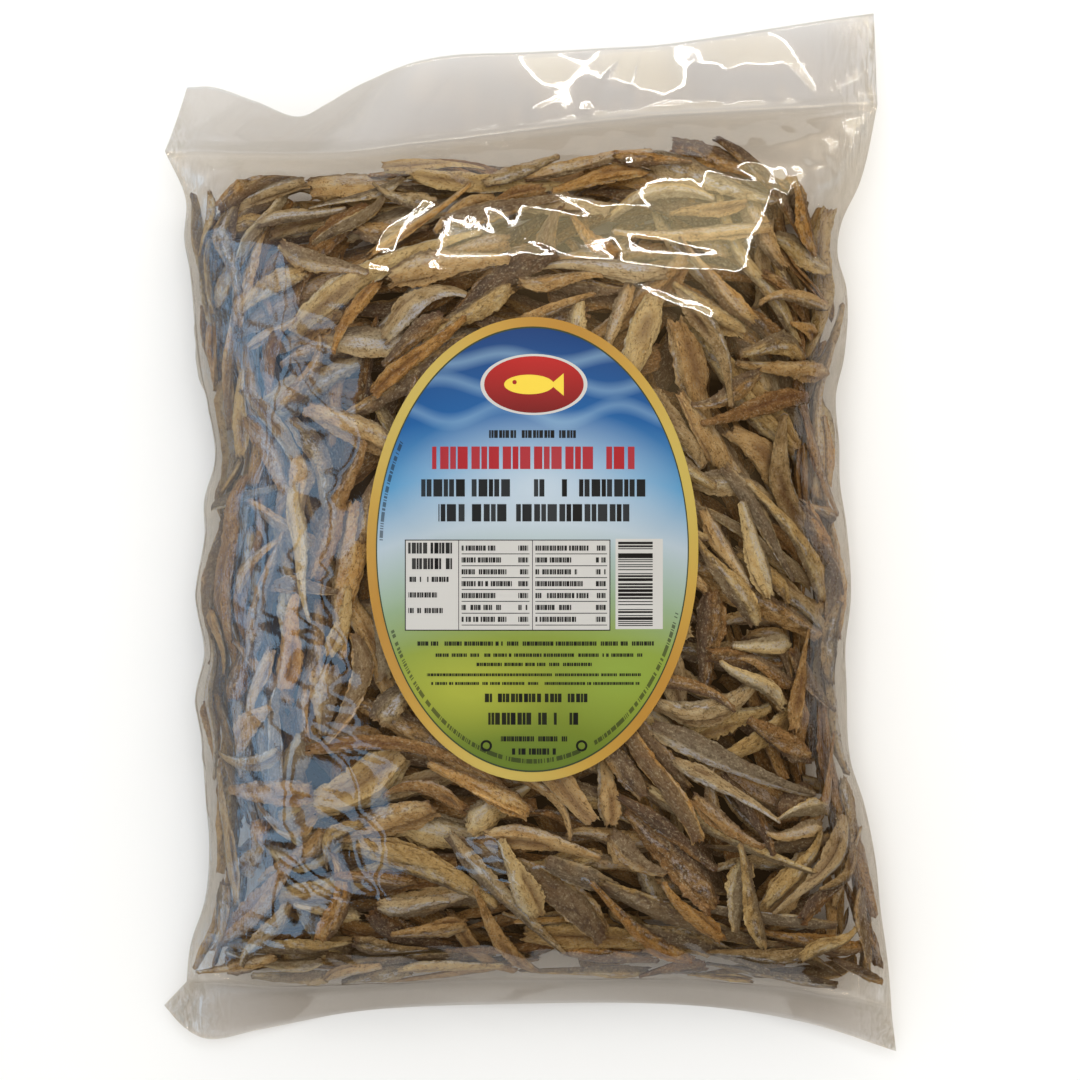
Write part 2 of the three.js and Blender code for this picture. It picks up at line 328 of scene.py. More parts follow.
class Heap:
    """The fish on one side, and the depth of the heap's top below the film in every cell."""

    def __init__(self, side, deepest, seed):
        self.side = side
        self.rng = np.random.default_rng(seed)
        x = side.points[:, :, 0]
        # The heap's upper end is uneven by a few millimetres.
        uneven = 2.2 * np.sin(x * 0.21 + 1.0) + 1.6 * np.sin(x * 0.47 + 2.0)
        self.empty = side.points[:, :, 1] > along(FISH_TOP, x) + uneven
        self.depth = np.clip(np.minimum(deepest, side.room), 0, None)
        self.depth[self.empty] = 0
        self.laid = []

    def draw(self, count, beside_crease):
        """A few fish with a place, a turn and a size each, for the best of them to be laid."""
        rng = self.rng
        c = rng.uniform(0.01, 0.99, count)
        r = rng.uniform(0.01, 0.99, count)
        place = self.side.sample(self.side.points, c, r)
        turn = lie(place[:, 0], place[:, 1]) + rng.normal(0, 0.45, count)
        stray = rng.random(count) < 0.25
        turn = np.where(stray, rng.uniform(-1.6, 1.6, count), turn)
        # Some are tried close beside a crease or a weld and along it, or the rim would stay bare.
        near = rng.uniform(0.012, 0.026, count) if beside_crease else rng.uniform(0.018, 0.05, count)
        spot = rng.random(count) * (0.2 if beside_crease else 1)
        by_crease = spot < 0.15
        by_weld = (spot >= 0.15) & (spot < 0.22)
        c = np.where(by_crease, np.where(rng.random(count) < 0.5, near, 1 - near), c)
        r = np.where(by_weld, 1 - near, r)
        turn = np.where(by_crease, math.pi / 2 + rng.normal(0, 0.15, count), turn)
        turn = np.where(by_weld, rng.normal(0, 0.35, count), turn)
        # The sheet's rows run down the bag, so a turn is mirrored on it.
        turn = -turn + np.where(rng.random(count) < 0.5, 0, math.pi)
        long = np.clip(rng.normal(LONG[0], LONG[1], count), LONG[2], LONG[3])
        long = np.where(rng.random(count) < BROKEN[0], rng.uniform(BROKEN[1], BROKEN[2], count), long)
        wide = rng.normal(WIDE[0], WIDE[1], count) * (0.62 + 0.38 * long / LONG[0])
        wide = np.clip(wide, WIDE[2], WIDE[3])
        deep = wide * rng.uniform(*FLAT, count)
        # Those tried closest to a crease stand on edge in it, with a narrow side to the film.
        edge_on = by_crease & (near < 0.033)
        wide, deep = np.where(edge_on, deep, wide), np.where(edge_on, wide, deep)
        bend = rng.normal(0, 1, count) * np.where(rng.random(count) < 0.28, 5.5, 1.8)
        bend = np.clip(bend, -9, 9)
        curl = rng.normal(0, 1.0, count)
        made = {"c": c, "r": r, "turn": turn, "long": long, "wide": wide, "deep": deep}
        return {**made, "bend": bend, "curl": curl}

    def cells(self, fish, s, b):
        """Rows, columns and half thickness under the stations and ribs of each fish."""
        shape = girth(s)
        run = s * fish["long"] / 2
        off = fish["bend"] * (s * s - BOW) + b * shape * fish["wide"] / 2
        cos = np.cos(fish["turn"])
        sin = np.sin(fish["turn"])
        across = fish["c"] * (self.side.cols - 1) + (run * cos - off * sin) / CELL
        down = fish["r"] * (self.side.rows - 1) + (run * sin + off * cos) / CELL
        half = shape * fish["deep"] / 2 * np.sqrt(1 - b * b)
        return np.rint(down).astype(int), np.rint(across).astype(int), half

    def fill(self, most, give_up, beside_crease=False, tries=22, clear=0.35):
        """Lay fish until most are laid or give_up draws in a row found no room."""
        misses = 0
        while len(self.laid) < most and misses < give_up:
            fish = self.draw(tries, beside_crease)
            wide_fish = {k: v[:, None, None] for k, v in fish.items()}
            s = STATIONS[None, :, None]
            b = RIBS[None, None, :]
            rows, cols, half = self.cells(wide_fish, s, b)
            off_sheet = (rows < 0) | (rows >= self.side.rows) | (cols < 0) | (cols >= self.side.cols)
            found = self.depth[np.clip(rows, 0, self.side.rows - 1), np.clip(cols, 0, self.side.cols - 1)]
            found = np.where(off_sheet, -5, found)
            curl = fish["curl"][:, None] * (STATIONS**2 - BOW)
            limit = (found - half).min(axis=2) - curl
            t_i = limit[:, PAIR_I]
            t_j = limit[:, PAIR_J]
            a_i = STATIONS[PAIR_I]
            a_j = STATIONS[PAIR_J]
            at_middle = (t_i * a_j - t_j * a_i) / (a_j - a_i)
            best = at_middle.argmin(axis=1)
            pick = np.arange(tries)
            slope = (t_j[pick, best] - t_i[pick, best]) / (a_j[best] - a_i[best])
            slope = np.clip(slope, -STEEPEST * fish["long"] / 2, STEEPEST * fish["long"] / 2)
            middle = (limit - slope[:, None] * STATIONS).min(axis=1)
            spine = middle[:, None] + slope[:, None] * STATIONS + curl
            top = (spine[:, :, None] - half).min(axis=(1, 2))
            score = np.where(top > clear, middle, -1)
            chosen = int(score.argmax())
            if score[chosen] < 0:
                misses += 1
                continue
            misses = 0
            one = {k: float(v[chosen]) for k, v in fish.items()}
            # Beside a crease a fish is held up against the film by those that come later.
            one["middle"] = float(middle[chosen] - (top[chosen] - clear if beside_crease else 0))
            one["slope"] = float(slope[chosen])
            self.laid.append(one)
            self.stamp(one)

    def stamp(self, one):
        """Raise the heap's top under a fish that has been laid."""
        s = np.linspace(-1, 1, 75)[:, None]
        b = np.linspace(-0.98, 0.98, 19)[None, :]
        rows, cols, half = self.cells(one, s, b)
        spine = one["middle"] + one["slope"] * s + one["curl"] * (s * s - BOW)
        inside = (rows >= 0) & (rows < self.side.rows) & (cols >= 0) & (cols < self.side.cols)
        top = np.broadcast_to(spine - half, rows.shape)
        np.minimum.at(self.depth, (rows[inside], cols[inside]), top[inside])


print("places tried under each fish:", len(STATIONS) * len(RIBS), "and pairs of supports:", len(PAIRS))

# %% [markdown]
# The shown side is filled along its creases first, because fish stand on edge there and nothing laid
# later would reach so close to the rim. The underside only needs a shallow layer of its own.

# %% Fill both sides
# how far below the film each heap begins
FRONT_DEEP = 25.0
BACK_DEEP = 10.0
front_heap = Heap(front, FRONT_DEEP, 4116)
front_heap.fill(1400, 320, beside_crease=True)
print("fish held beside the creases:", len(front_heap.laid))
front_heap.fill(1400, 420)
back_heap = Heap(back, BACK_DEEP, 4117)
back_heap.fill(420, 260)
print("fish laid in front:", len(front_heap.laid), "and behind:", len(back_heap.laid))

# %% [markdown]
# A dried headless anchovy is a flattened spindle. The cut end is blunt and ragged, the belly side has
# shrunk into an open slit with two lips, and the flanks have sharp lengthways wrinkles. One sphere
# from bmesh, with its poles at the fish's ends, is the pattern. Each fish in the heap is a copy of it
# whose rings are moved to that fish's own girth, bend, twist and slit, so no two are alike.

# %% The pattern of a fish
# rings along and sides round each fish that shows, that lies deep, and that lies underneath
SHOWN_GRID = (40, 22)
DEEP_GRID = (20, 12)
UNDER_GRID = (16, 10)


def fish_pattern(rings, sides):
    """A closed unit sphere along X, as a mesh to copy."""
    bm = bmesh.new()
    bmesh.ops.create_uvsphere(bm, u_segments=sides, v_segments=rings, radius=1)
    bmesh.ops.rotate(bm, verts=bm.verts, matrix=Matrix.Rotation(math.pi / 2, 3, "Y"))
    bm.normal_update()
    mesh = bpy.data.meshes.new("fish_pattern")
    bm.to_mesh(mesh)
    bm.free()
    return mesh


def coordinates(mesh):
    """The mesh's vertex positions as an array."""
    co = np.empty(len(mesh.vertices) * 3)
    mesh.vertices.foreach_get("co", co)
    return co.reshape(-1, 3)


print("faces of a fish that shows:", SHOWN_GRID[0] * SHOWN_GRID[1])

# %% [markdown]
# Sculpting one good fish and copying it would show at once in a heap of hundreds. So every fish is
# shaped by the same few rules with random amounts: how sharp its back is, which way its belly faces,
# how far the slit is open, and how it is wrinkled, twisted and bent.

# %% Shape one fish
def shape_fish(unit, one, rng):
    """The straight and the bent fish in millimetres, its slit, and 0 on its back to 1 on its belly."""
    s = 2 * np.arccos(np.clip(-unit[:, 0], -1, 1)) / math.pi - 1
    phi = np.arctan2(unit[:, 2], unit[:, 1])
    phi = np.where(np.abs(np.abs(s) - 1) < 1e-6, 0, phi)
    body = girth(np.clip(s, -0.995, 0.995))
    body = np.where(np.abs(np.abs(s) - 1) < 1e-6, 0, body)
    # how sharp its back and belly are, and how far they lean to one side
    keel = rng.uniform(0.3, 1.3)
    lean = rng.uniform(-0.45, 0.45)
    # Most fish lie on a flank with the belly to one side, and some lie belly up.
    belly = rng.choice([0, 1, 2, 3], p=[0.33, 0.22, 0.33, 0.12]) * math.pi / 2 + rng.normal(0, 0.4)
    # the open slit along the belly and its two lips
    slit_deep = rng.choice([0.1, 0.45, 0.75], p=[0.2, 0.35, 0.45])
    slit_wide = rng.uniform(0.26, 0.5)
    slit_from = rng.uniform(-1.1, -0.75)
    slit_to = rng.uniform(-0.2, 0.45)
    around = np.abs((phi - belly + math.pi) % (2 * math.pi) - math.pi)
    open_part = smooth(slit_from, slit_from + 0.25, s) * (1 - smooth(slit_to - 0.35, slit_to, s))
    slit = np.exp(-((around / slit_wide) ** 2)) * open_part
    lips = np.exp(-(((around - slit_wide * 1.9) / (slit_wide * 0.7)) ** 2)) * open_part
    # wrinkles, a sunk line along the flank, rough skin and ragged ends
    phase = rng.uniform(0, 2 * math.pi, 12)
    wrinkle = 0.05 * np.sin(3 * phi + phase[0] + 2.2 * s) + 0.035 * np.sin(5 * phi + phase[1] - 1.5 * s)
    wrinkle += 0.09 * np.sin(4.5 * s + phase[2]) * np.cos(2 * phi + phase[3])
    wrinkle += 0.04 * np.sin(13 * s + phase[4] + 2 * np.sin(2 * phi + phase[5]))
    wrinkle += 0.03 * np.sin(27 * s + phase[6]) * np.sin(phi + phase[7])
    flank = -0.12 * np.exp(-(((np.cos(around) + 0.15) / 0.2) ** 2)) * smooth(-0.9, -0.5, s)
    rough = rng.normal(0, 0.03, len(s)) * (1 + 1.4 * np.cos(phi) ** 4)
    ragged = rng.normal(0, 0.17, len(s)) * (smooth(-0.86, -0.94, s) + 0.7 * smooth(0.86, 0.95, s))
    radius = body * (1 + wrinkle + flank + rough + ragged - slit_deep * slit + 0.28 * lips)
    wide = one["wide"] / 2
    deep = one["deep"] / 2
    up = np.sin(phi) * (np.abs(np.sin(phi)) + 1e-6) ** keel
    side = np.cos(phi) + lean * up * np.abs(up) * deep / wide
    # The cut end is hollow: its middle lies deeper than its ragged rim.
    run = s * one["long"] / 2 + rng.normal(0, 0.7, len(s)) * smooth(-0.86, -0.94, s)
    run = np.where(s < -0.99, run + one["wide"] * 0.45, run)
    straight = np.stack([run, side * radius * wide, up * radius * deep], axis=1)
    twist = rng.normal(0, 0.35) * s + rng.normal(0, 0.18)
    y = straight[:, 1] * np.cos(twist) - straight[:, 2] * np.sin(twist)
    z = straight[:, 1] * np.sin(twist) + straight[:, 2] * np.cos(twist)
    y = y + one["bend"] * (s * s - BOW) + rng.normal(0, 0.8) * (s**3 - 0.6 * s) * 2
    z = np.clip(z, -deep * 1.25, deep * 1.25)
    return straight, np.stack([run, y, z], axis=1), slit, (1 + np.cos(around)) / 2, s


sample_sphere = fish_pattern(*SHOWN_GRID)
sample_fish = shape_fish(coordinates(sample_sphere), front_heap.laid[0], np.random.default_rng(1))[1]
bpy.data.meshes.remove(sample_sphere)
print("a fish shaped, in mm:", [round(float(span), 1) for span in np.ptp(sample_fish, axis=0)])

# %% [markdown]
# The heap is only a list of places on the unrolled sheet so far. A shaped fish is put under the film at
# its place, where the sheet's own curve bends it along, and each kind of look becomes one mesh. Every
# vertex keeps its place on the straight fish, so grain and stripes follow the fish round its bends, and
# a tint of its own.

# %% Many fish in one mesh
# least depth of any fish's skin below the film's own sheet
UNDER_FILM = 0.2
# each fish takes its grain from another part of the noise, up to this far off
GRAIN_APART = 400


def place_fish(side, one, bent, s):
    """Bent fish coordinates to points in space, under the film and along its curve."""
    cos = math.cos(one["turn"])
    sin = math.sin(one["turn"])
    c = one["c"] + (bent[:, 0] * cos - bent[:, 1] * sin) / CELL / (side.cols - 1)
    r = one["r"] + (bent[:, 0] * sin + bent[:, 1] * cos) / CELL / (side.rows - 1)
    depth = one["middle"] + one["slope"] * s + one["curl"] * (s * s - BOW) - bent[:, 2]
    return side.point(c, r, np.maximum(depth, UNDER_FILM))


def link_piece(name, mesh):
    """An object for a finished mesh, at the origin and in the scene."""
    obj = bpy.data.objects.new(name, mesh)
    bpy.context.scene.collection.objects.link(obj)
    return obj


def put_points(mesh, points):
    """The mesh's vertices put where the points are, from millimetres to metres."""
    mesh.vertices.foreach_set("co", ((points - OFFSET) * MM).ravel())


def heap_piece(name, side, members, grid, seed):
    """One mesh that holds every fish in members."""
    rng = np.random.default_rng(seed)
    pattern = fish_pattern(*grid)
    unit = coordinates(pattern)
    bm = bmesh.new()
    for _ in members:
        bm.from_mesh(pattern)
    mesh = bpy.data.meshes.new(name)
    bm.to_mesh(mesh)
    bm.free()
    places = []
    skins = []
    tints = []
    for one in members:
        straight, bent, slit, round_it, s = shape_fish(unit, one, rng)
        places.append(place_fish(side, one, bent, s))
        skins.append(straight + rng.uniform(-GRAIN_APART, GRAIN_APART, 3))
        tint = np.empty((len(unit), 4))
        tint[:, 0] = rng.uniform(0, 1)
        tint[:, 1] = slit
        tint[:, 2] = (s + 1) / 2
        tint[:, 3] = round_it
        tints.append(tint)
    put_points(mesh, np.concatenate(places))
    skin = mesh.attributes.new("skin", "FLOAT_VECTOR", "POINT")
    skin.data.foreach_set("vector", (np.concatenate(skins) * MM).ravel())
    tint = mesh.attributes.new("tint", "FLOAT_COLOR", "POINT")
    tint.data.foreach_set("color", np.concatenate(tints).ravel())
    mesh.shade_smooth()
    mesh.set_sharp_from_angle(angle=math.radians(50))
    mesh.update()
    bpy.data.meshes.remove(pattern)
    return link_piece(name, mesh)


print("least depth below the film:", UNDER_FILM, "mm")

# %% [markdown]
# The heap holds a few kinds of look: some fish are tan, as many keep a silver flank, and others
# dried paler, darker or more ochre. Each kind gets its share of the fish near the film. Those deeper
# down and those underneath are plainer pieces, because little of them shows. The deep ones are also
# darker than every kind near the film, as painted shade.

# %% The heap of fish
KINDS = {"tan": 0.25, "silver": 0.25, "brown": 0.19, "ochre": 0.09, "pale": 0.22}
# fish whose middle is deeper than this are one plainer piece
DEEP = 13.0


def part_kinds(laid, seed):
    """The laid fish dealt out to the kinds."""
    rng = np.random.default_rng(seed)
    shares = np.array(list(KINDS.values())) / sum(KINDS.values())
    dealt = rng.choice(len(KINDS), size=len(laid), p=shares)
    return {kind: [one for one, d in zip(laid, dealt) if d == k] for k, kind in enumerate(KINDS)}


near_film = [one for one in front_heap.laid if one["middle"] < DEEP]
deep_down = [one for one in front_heap.laid if one["middle"] >= DEEP]
fish_pieces = {}
for kind, members in part_kinds(near_film, 7).items():
    fish_pieces[kind] = heap_piece("fish_" + kind, front, members, SHOWN_GRID, 100 + len(kind))
    print(kind, "fish:", len(members), "in", len(fish_pieces[kind].data.polygons), "faces")
# the deep fish get the darker look below: painted shade of the heap's depth
fish_pieces["deep"] = heap_piece("fish_deep", front, deep_down, DEEP_GRID, 98)
fish_pieces["under"] = heap_piece("fish_under", back, back_heap.laid, UNDER_GRID, 99)
print("deep fish:", len(deep_down), "and fish on the underside:", len(back_heap.laid))

# %% [markdown]
# Film under a little tension spans from one high fish to the next, and sinks between them as far as
# its stiffness lets it. On the unrolled sheet that is simple to work out. Every cell takes the mean of
# its neighbours and a small pull inwards, and is then pushed back out wherever a fish is in the way.

# %% Rest the film on the fish
# pull inwards a round, and how many rounds of it
FILM_PULL = 0.003
FILM_ROUNDS = 900
# the film lies this far over the fish, and never sinks deeper than this
FILM_OVER_FISH = 0.45
FILM_DEEPEST = 18


def neighbours(field):
    """The mean of the four neighbours of every inner cell."""
    return (field[:-2, 1:-1] + field[2:, 1:-1] + field[1:-1, :-2] + field[1:-1, 2:]) / 4


def relax(top, pull, rounds, start):
    """Depth of a taut film that may not go deeper than top anywhere, and is held at its rim."""
    film = start.copy()
    for _ in range(rounds):
        film[1:-1, 1:-1] = np.minimum(neighbours(film) + pull, top[1:-1, 1:-1])
    return film


def soften(field, rounds):
    """The field with its sharpest creases eased."""
    field = field.copy()
    for _ in range(rounds):
        field[1:-1, 1:-1] += 0.5 * (neighbours(field) - field[1:-1, 1:-1])
    return field


def label_share(x, y):
    """Distance from the label's centre as a share of its rim."""
    return np.hypot((x - LABEL_AT[0]) / LABEL_HALF[0], (y - LABEL_AT[1]) / LABEL_HALF[1])


front_x = front.points[:, :, 0]
front_y = front.points[:, :, 1]
contact = np.where(front_heap.empty, front.room * 0.8, front_heap.depth)
contact = np.maximum(np.minimum(contact, FILM_DEEPEST) - FILM_OVER_FISH, 0)
pressed = 1 - smooth(1.0, 1.12, label_share(front_x, front_y))
contact = contact * (1 - pressed)
film_depth = relax(contact, FILM_PULL, FILM_ROUNDS, contact * 0.2)
film_depth = np.minimum(soften(film_depth, 4), contact + 0.15)
half_way = round(float(np.median(film_depth)), 2)
print("half of the film lies less than", half_way, "mm below the pillow's surface")

# %% [markdown]
# Where the film isn't held by fish it keeps soft bulges of its own, as it does towards the header on
# the right. Beside both welds it puckers into short pleats. Sums of a few waves with seeded turns and
# lengths give both. All of it changes the film's depth, so a bulge outwards counts as less depth.

# %% Loose film and pleats
def waves(seed, count, shortest, longest):
    """Wave numbers and phases for a smooth uneven surface, with lengths in millimetres."""
    rng = np.random.default_rng(seed)
    length = np.exp(rng.uniform(math.log(shortest), math.log(longest), count))
    turn = rng.uniform(0, math.pi, count)
    number = 2 * math.pi / length
    phase = rng.uniform(0, 2 * math.pi, count)
    return np.stack([number * np.cos(turn), number * np.sin(turn), phase], axis=1)


def swell(x, y, table):
    """An uneven surface between about -1 and 1."""
    total = np.zeros_like(x)
    for kx, ky, phase in table:
        total = total + np.sin(kx * x + ky * y + phase)
    return total / math.sqrt(len(table))


LOOSE = waves(3, 8, 38, 90)
LOOSE_FINE = waves(4, 8, 12, 26)
CREEP = waves(5, 8, 9, 20)
# heights in millimetres
LOOSE_HIGH = 0.95
LOOSE_FINE_HIGH = 0.055
PLEAT_HIGH = 0.8
loose_here = np.exp(-(((front_x - 30) / 84) ** 4) - ((front_y - 106) / 30) ** 4)
loose_film = -0.5 + LOOSE_HIGH * swell(front_x, front_y, LOOSE)
loose_film = loose_film + LOOSE_FINE_HIGH * swell(front_x, front_y, LOOSE_FINE)
film_depth = film_depth * (1 - loose_here) + np.minimum(film_depth, loose_film) * loose_here
from_top = along(TOP_WELD, front_x) - front_y
from_low = front_y - along(LOW_WELD, front_x)
pleats = np.exp(-from_top / 13) + np.exp(-from_low / 11)
rim_ease = smooth(0, 5, np.minimum(from_top, from_low))
film_depth = film_depth + PLEAT_HIGH * swell(front_x, front_y * 0.3, CREEP) * pleats * rim_ease
print("film depth from and to:", round(float(film_depth.min()), 2), round(float(film_depth.max()), 2), "mm")

# %% [markdown]
# On the left the film stands off the fish in small flat faces with straight ridges between them, and
# it mirrors the window in whole patches there. The squared distance to the nearest of some scattered
# places has such a ridge wherever two of them are equally near. Scaled down, it is nearly flat between.

# %% Flat faces on the window side
# the faces begin at the first x and are whole from the second
WINDOW_SIDE = (-22, -52)
# how many places, how far across the sheet they lie, and how the faces are turned and stretched
FACETS = 52
FACET_ACROSS = 95
FACET_TURN = math.radians(20)
FACET_STRETCH = 0.45
FACET_BULGE = 0.0038
# how much of the film's sinking between the fish is lost there
FACET_HOLD = 0.7


def facets(across, lengthways, seed):
    """Squared distance to the nearest of some scattered places, with straight ridges between them."""
    rng = np.random.default_rng(seed)
    nearest = np.full(across.shape, 1e6)
    for _ in range(FACETS):
        off = across - rng.uniform(-5, FACET_ACROSS)
        down = lengthways - rng.uniform(-10, front.length + 10)
        u = off * math.cos(FACET_TURN) + down * math.sin(FACET_TURN)
        v = down * math.cos(FACET_TURN) - off * math.sin(FACET_TURN)
        nearest = np.minimum(nearest, u**2 + (v * FACET_STRETCH) ** 2)
    return nearest


sheet_c = np.linspace(0, 1, front.cols)[None, :]
sheet_r = np.linspace(0, 1, front.rows)[:, None]
across, lengthways = np.broadcast_arrays(sheet_c * front.width, sheet_r * front.length)
window_side = smooth(*WINDOW_SIDE, front_x) * smooth(0, 0.06, np.minimum(sheet_r, 1 - sheet_r))
bulge = FACET_BULGE * facets(across, lengthways, 31) * window_side
film_depth = film_depth * (1 - FACET_HOLD * window_side) - bulge
print("highest ridge:", round(float(bulge.max()), 2), "mm")

# %% [markdown]
# Film that has been handled keeps sharp lines. A few creases are drawn in the corners, the film
# ripples beside its sides, long faint folds run over all of it but the label, and in some places it
# is crushed.

# %% Creases and crushed places
def folds(x, y, table):
    """Thin raised lines where film has been creased, between 0 and 1."""
    total = np.zeros_like(x)
    for kx, ky, phase in table:
        total = np.maximum(total, (1 - np.abs(np.sin(kx * x + ky * y + phase))) ** 5)
    return total


def fold_line(x, y, start, end, wide):
    """A raised line between two places, from 1 along it to 0 a width away."""
    run_x = end[0] - start[0]
    run_y = end[1] - start[1]
    share = np.clip(((x - start[0]) * run_x + (y - start[1]) * run_y) / (run_x**2 + run_y**2), 0, 1)
    away = np.hypot(x - start[0] - share * run_x, y - start[1] - share * run_y)
    return np.exp(-((away / wide) ** 1.5)) * np.sin(math.pi * np.clip(share, 0.12, 0.88))


CREASED = waves(8, 5, 40, 90)
# start and end of each, as x and y
CORNER_CREASES = [
    ((90, 124), (117, 137)), ((97, 113), (118, 119)), ((112, 118), (101, 147)),
    ((86, 138), (108, 146)), ((99, 131), (120, 128)), ((-120, 128), (-97, 136)),
    ((-116, 112), (-100, 129)), ((-121, 104), (-104, 111)),
]
CRUSHED = waves(6, 10, 5, 10)
# x, y and reach of each crushed place
CRUSHED_AT = [
    (93, -26, 9), (104, 120, 13), (-112, 118, 14), (-117, 100, 9), (112, -60, 8), (-112, -90, 10),
]
# heights in millimetres, and the width of a corner crease
CORNER_HIGH = 0.7
CORNER_WIDE = 1.3
RIPPLE_HIGH = 0.7
FOLD_HIGH = 0.35
CRUSHED_HIGH = 0.32
for start, end in CORNER_CREASES:
    film_depth = film_depth - CORNER_HIGH * fold_line(front_x, front_y, start, end, CORNER_WIDE)
from_side = np.minimum(sheet_c, 1 - sheet_c) * front.width
by_side = np.exp(-from_side / 16)
film_depth = film_depth + RIPPLE_HIGH * swell(front_x * 0.6, front_y, CREEP) * by_side
bent = front_x + 6 * swell(front_x, front_y, LOOSE)
off_label = smooth(1.1, 1.3, label_share(front_x, front_y))
film_depth = film_depth - FOLD_HIGH * folds(bent, front_y, CREASED) * off_label
film_depth = soften(film_depth, 2)
for at_x, at_y, reach in CRUSHED_AT:
    near = np.exp(-(((front_x - at_x) ** 2 + (front_y - at_y) ** 2) / reach**2))
    film_depth = film_depth + CRUSHED_HIGH * swell(front_x, front_y, CRUSHED) * near
film_depth = film_depth * smooth(0, 0.02, np.minimum(sheet_c, 1 - sheet_c))
print("creases:", len(CORNER_CREASES), "and crushed places:", len(CRUSHED_AT))

# %% [markdown]
# The bag's film is one closed skin of two plies. Each ply is a grid: header rows, rows over the
# filled part, and the rows of the low flap. The filled part comes from the sheets above. The flaps run
# from their welds to their loose edges, with waves and a few creases of their own.

# %% Places on the film
HEADER_ROWS = 24
BODY_ROWS = 272
FOOT_ROWS = 12
ACROSS = 208
# half the space between the plies of a flap
PLY_GAP = 0.16
WELD_WIDE = 3.0
# lowest that the film may hang over the table
FLOOR_GAP = 0.6
# how strongly the low flap takes the tint of the header; it takes less, so it shows lighter, painted light
# against the bag's shadow on it
FOOT_TINT_PAINTED_LIGHT = 0.7
HEADER_WAVES = waves(11, 7, 26, 80)
HEADER_CREASES = waves(12, 9, 7, 18)
# start and end of each crease, as x and distance from the weld, and its height
HEADER_CREASED = [
    ((-95, 1), (-84, 12), 1.6), ((-122, 4), (-98, 1), 1.0), ((-88, 3), (-60, 6), 0.7),
    ((-46, 4), (-30, 26), 0.5), ((22, 4), (34, 27), 0.9), ((36, 2), (40, 30), 0.8),
    ((58, 4), (78, 20), 0.6), ((92, 18), (104, 3), 1.0), ((108, 2), (124, 12), 0.7),
    ((-12, 3), (8, 9), 0.4),
]


def flap_height(x, s, run):
    """Height above the weld on a flap, at share s of the way to its loose edge."""
    band = 0.3 * np.exp(-(((run - WELD_WIDE / 2) / (WELD_WIDE / 2)) ** 4))
    pucker = 0.32 * swell(x, run * 0.25, HEADER_CREASES) * np.exp(-np.abs(run - WELD_WIDE) / 8)
    lively = 0.3 + 0.7 * np.exp(-(((x - 45) / 52) ** 4))
    slow = 0.85 * lively * swell(x, run, HEADER_WAVES) * smooth(0, 14, run)
    crease = 0 * x
    for start, end, tall in HEADER_CREASED:
        crease = crease + tall * fold_line(x, run, start, end, 1.6)
    return band + pucker * smooth(WELD_WIDE, WELD_WIDE + 2, run) + slow * smooth(0, 0.6, s) + crease


def x_at(table, share):
    """The x at that share of the way from a table's first point to its last."""
    return table[0][0] + (table[-1][0] - table[0][0]) * share


def film_points(c, row, upper):
    """Points of one ply in millimetres, from the share across and the row number."""
    side = front if upper else back
    gap = PLY_GAP if upper else -PLY_GAP
    body = np.clip((row - HEADER_ROWS) / BODY_ROWS, 0, 1)
    depth = side.sample(film_depth, c, body) if upper else np.zeros_like(c)
    made = side.point(c, body, depth)
    weld_x = x_at(TOP_WELD, c)
    edge_x = x_at(HEADER_EDGE, c)
    s = np.clip(1 - row / HEADER_ROWS, 0, 1)
    weld_y = along(TOP_WELD, weld_x)
    edge_y = along(HEADER_EDGE, edge_x)
    run = s * (edge_y - weld_y)
    lift = along(HEADER_LIFT, edge_x) * s * (0.7 + 0.3 * s)
    header = np.stack([
        weld_x * (1 - s) + edge_x * s,
        weld_y + run,
        np.maximum(WELD_Z + lift + flap_height(weld_x, s, run), FLOOR_GAP) + gap,
    ], axis=1)
    low_x = x_at(LOW_WELD, c)
    foot_x = x_at(LOW_EDGE, c)
    f = np.clip((row - HEADER_ROWS - BODY_ROWS) / FOOT_ROWS, 0, 1)
    low_y = along(LOW_WELD, low_x)
    foot_y = along(LOW_EDGE, foot_x)
    fall = (WELD_Z - 3 - 2.5 * np.cos((2 * c - 1) * 7)) * f
    foot = np.stack([
        low_x * (1 - f) + foot_x * f,
        low_y * (1 - f) + foot_y * f,
        np.maximum(WELD_Z - fall + 0.6 * flap_height(low_x + 300, f, f * 14), FLOOR_GAP) + gap,
    ], axis=1)
    made = np.where((row < HEADER_ROWS)[:, None], header, made)
    made = np.where((row > HEADER_ROWS + BODY_ROWS)[:, None], foot, made)
    return made


print("rows of the shown ply:", HEADER_ROWS + BODY_ROWS + FOOT_ROWS)

# %% [markdown]
# The skin starts as two flat grids, one over the other, with their rims bridged. The shown ply is twice
# as fine as the one below, because all the small gleams are on it. Every vertex is then moved to its
# place, and keeps three marks for the material: whether it is in a weld, on a flap, or near a side.

# %% The film
def ply_grid(bm, columns, rows, level):
    """A flat grid of one ply at its own level, with its first row at y = 0.5."""
    bmesh.ops.create_grid(bm, x_segments=columns, y_segments=rows, size=0.5)
    for vert in bm.verts:
        if vert.co.z == 0:
            vert.co.z = level


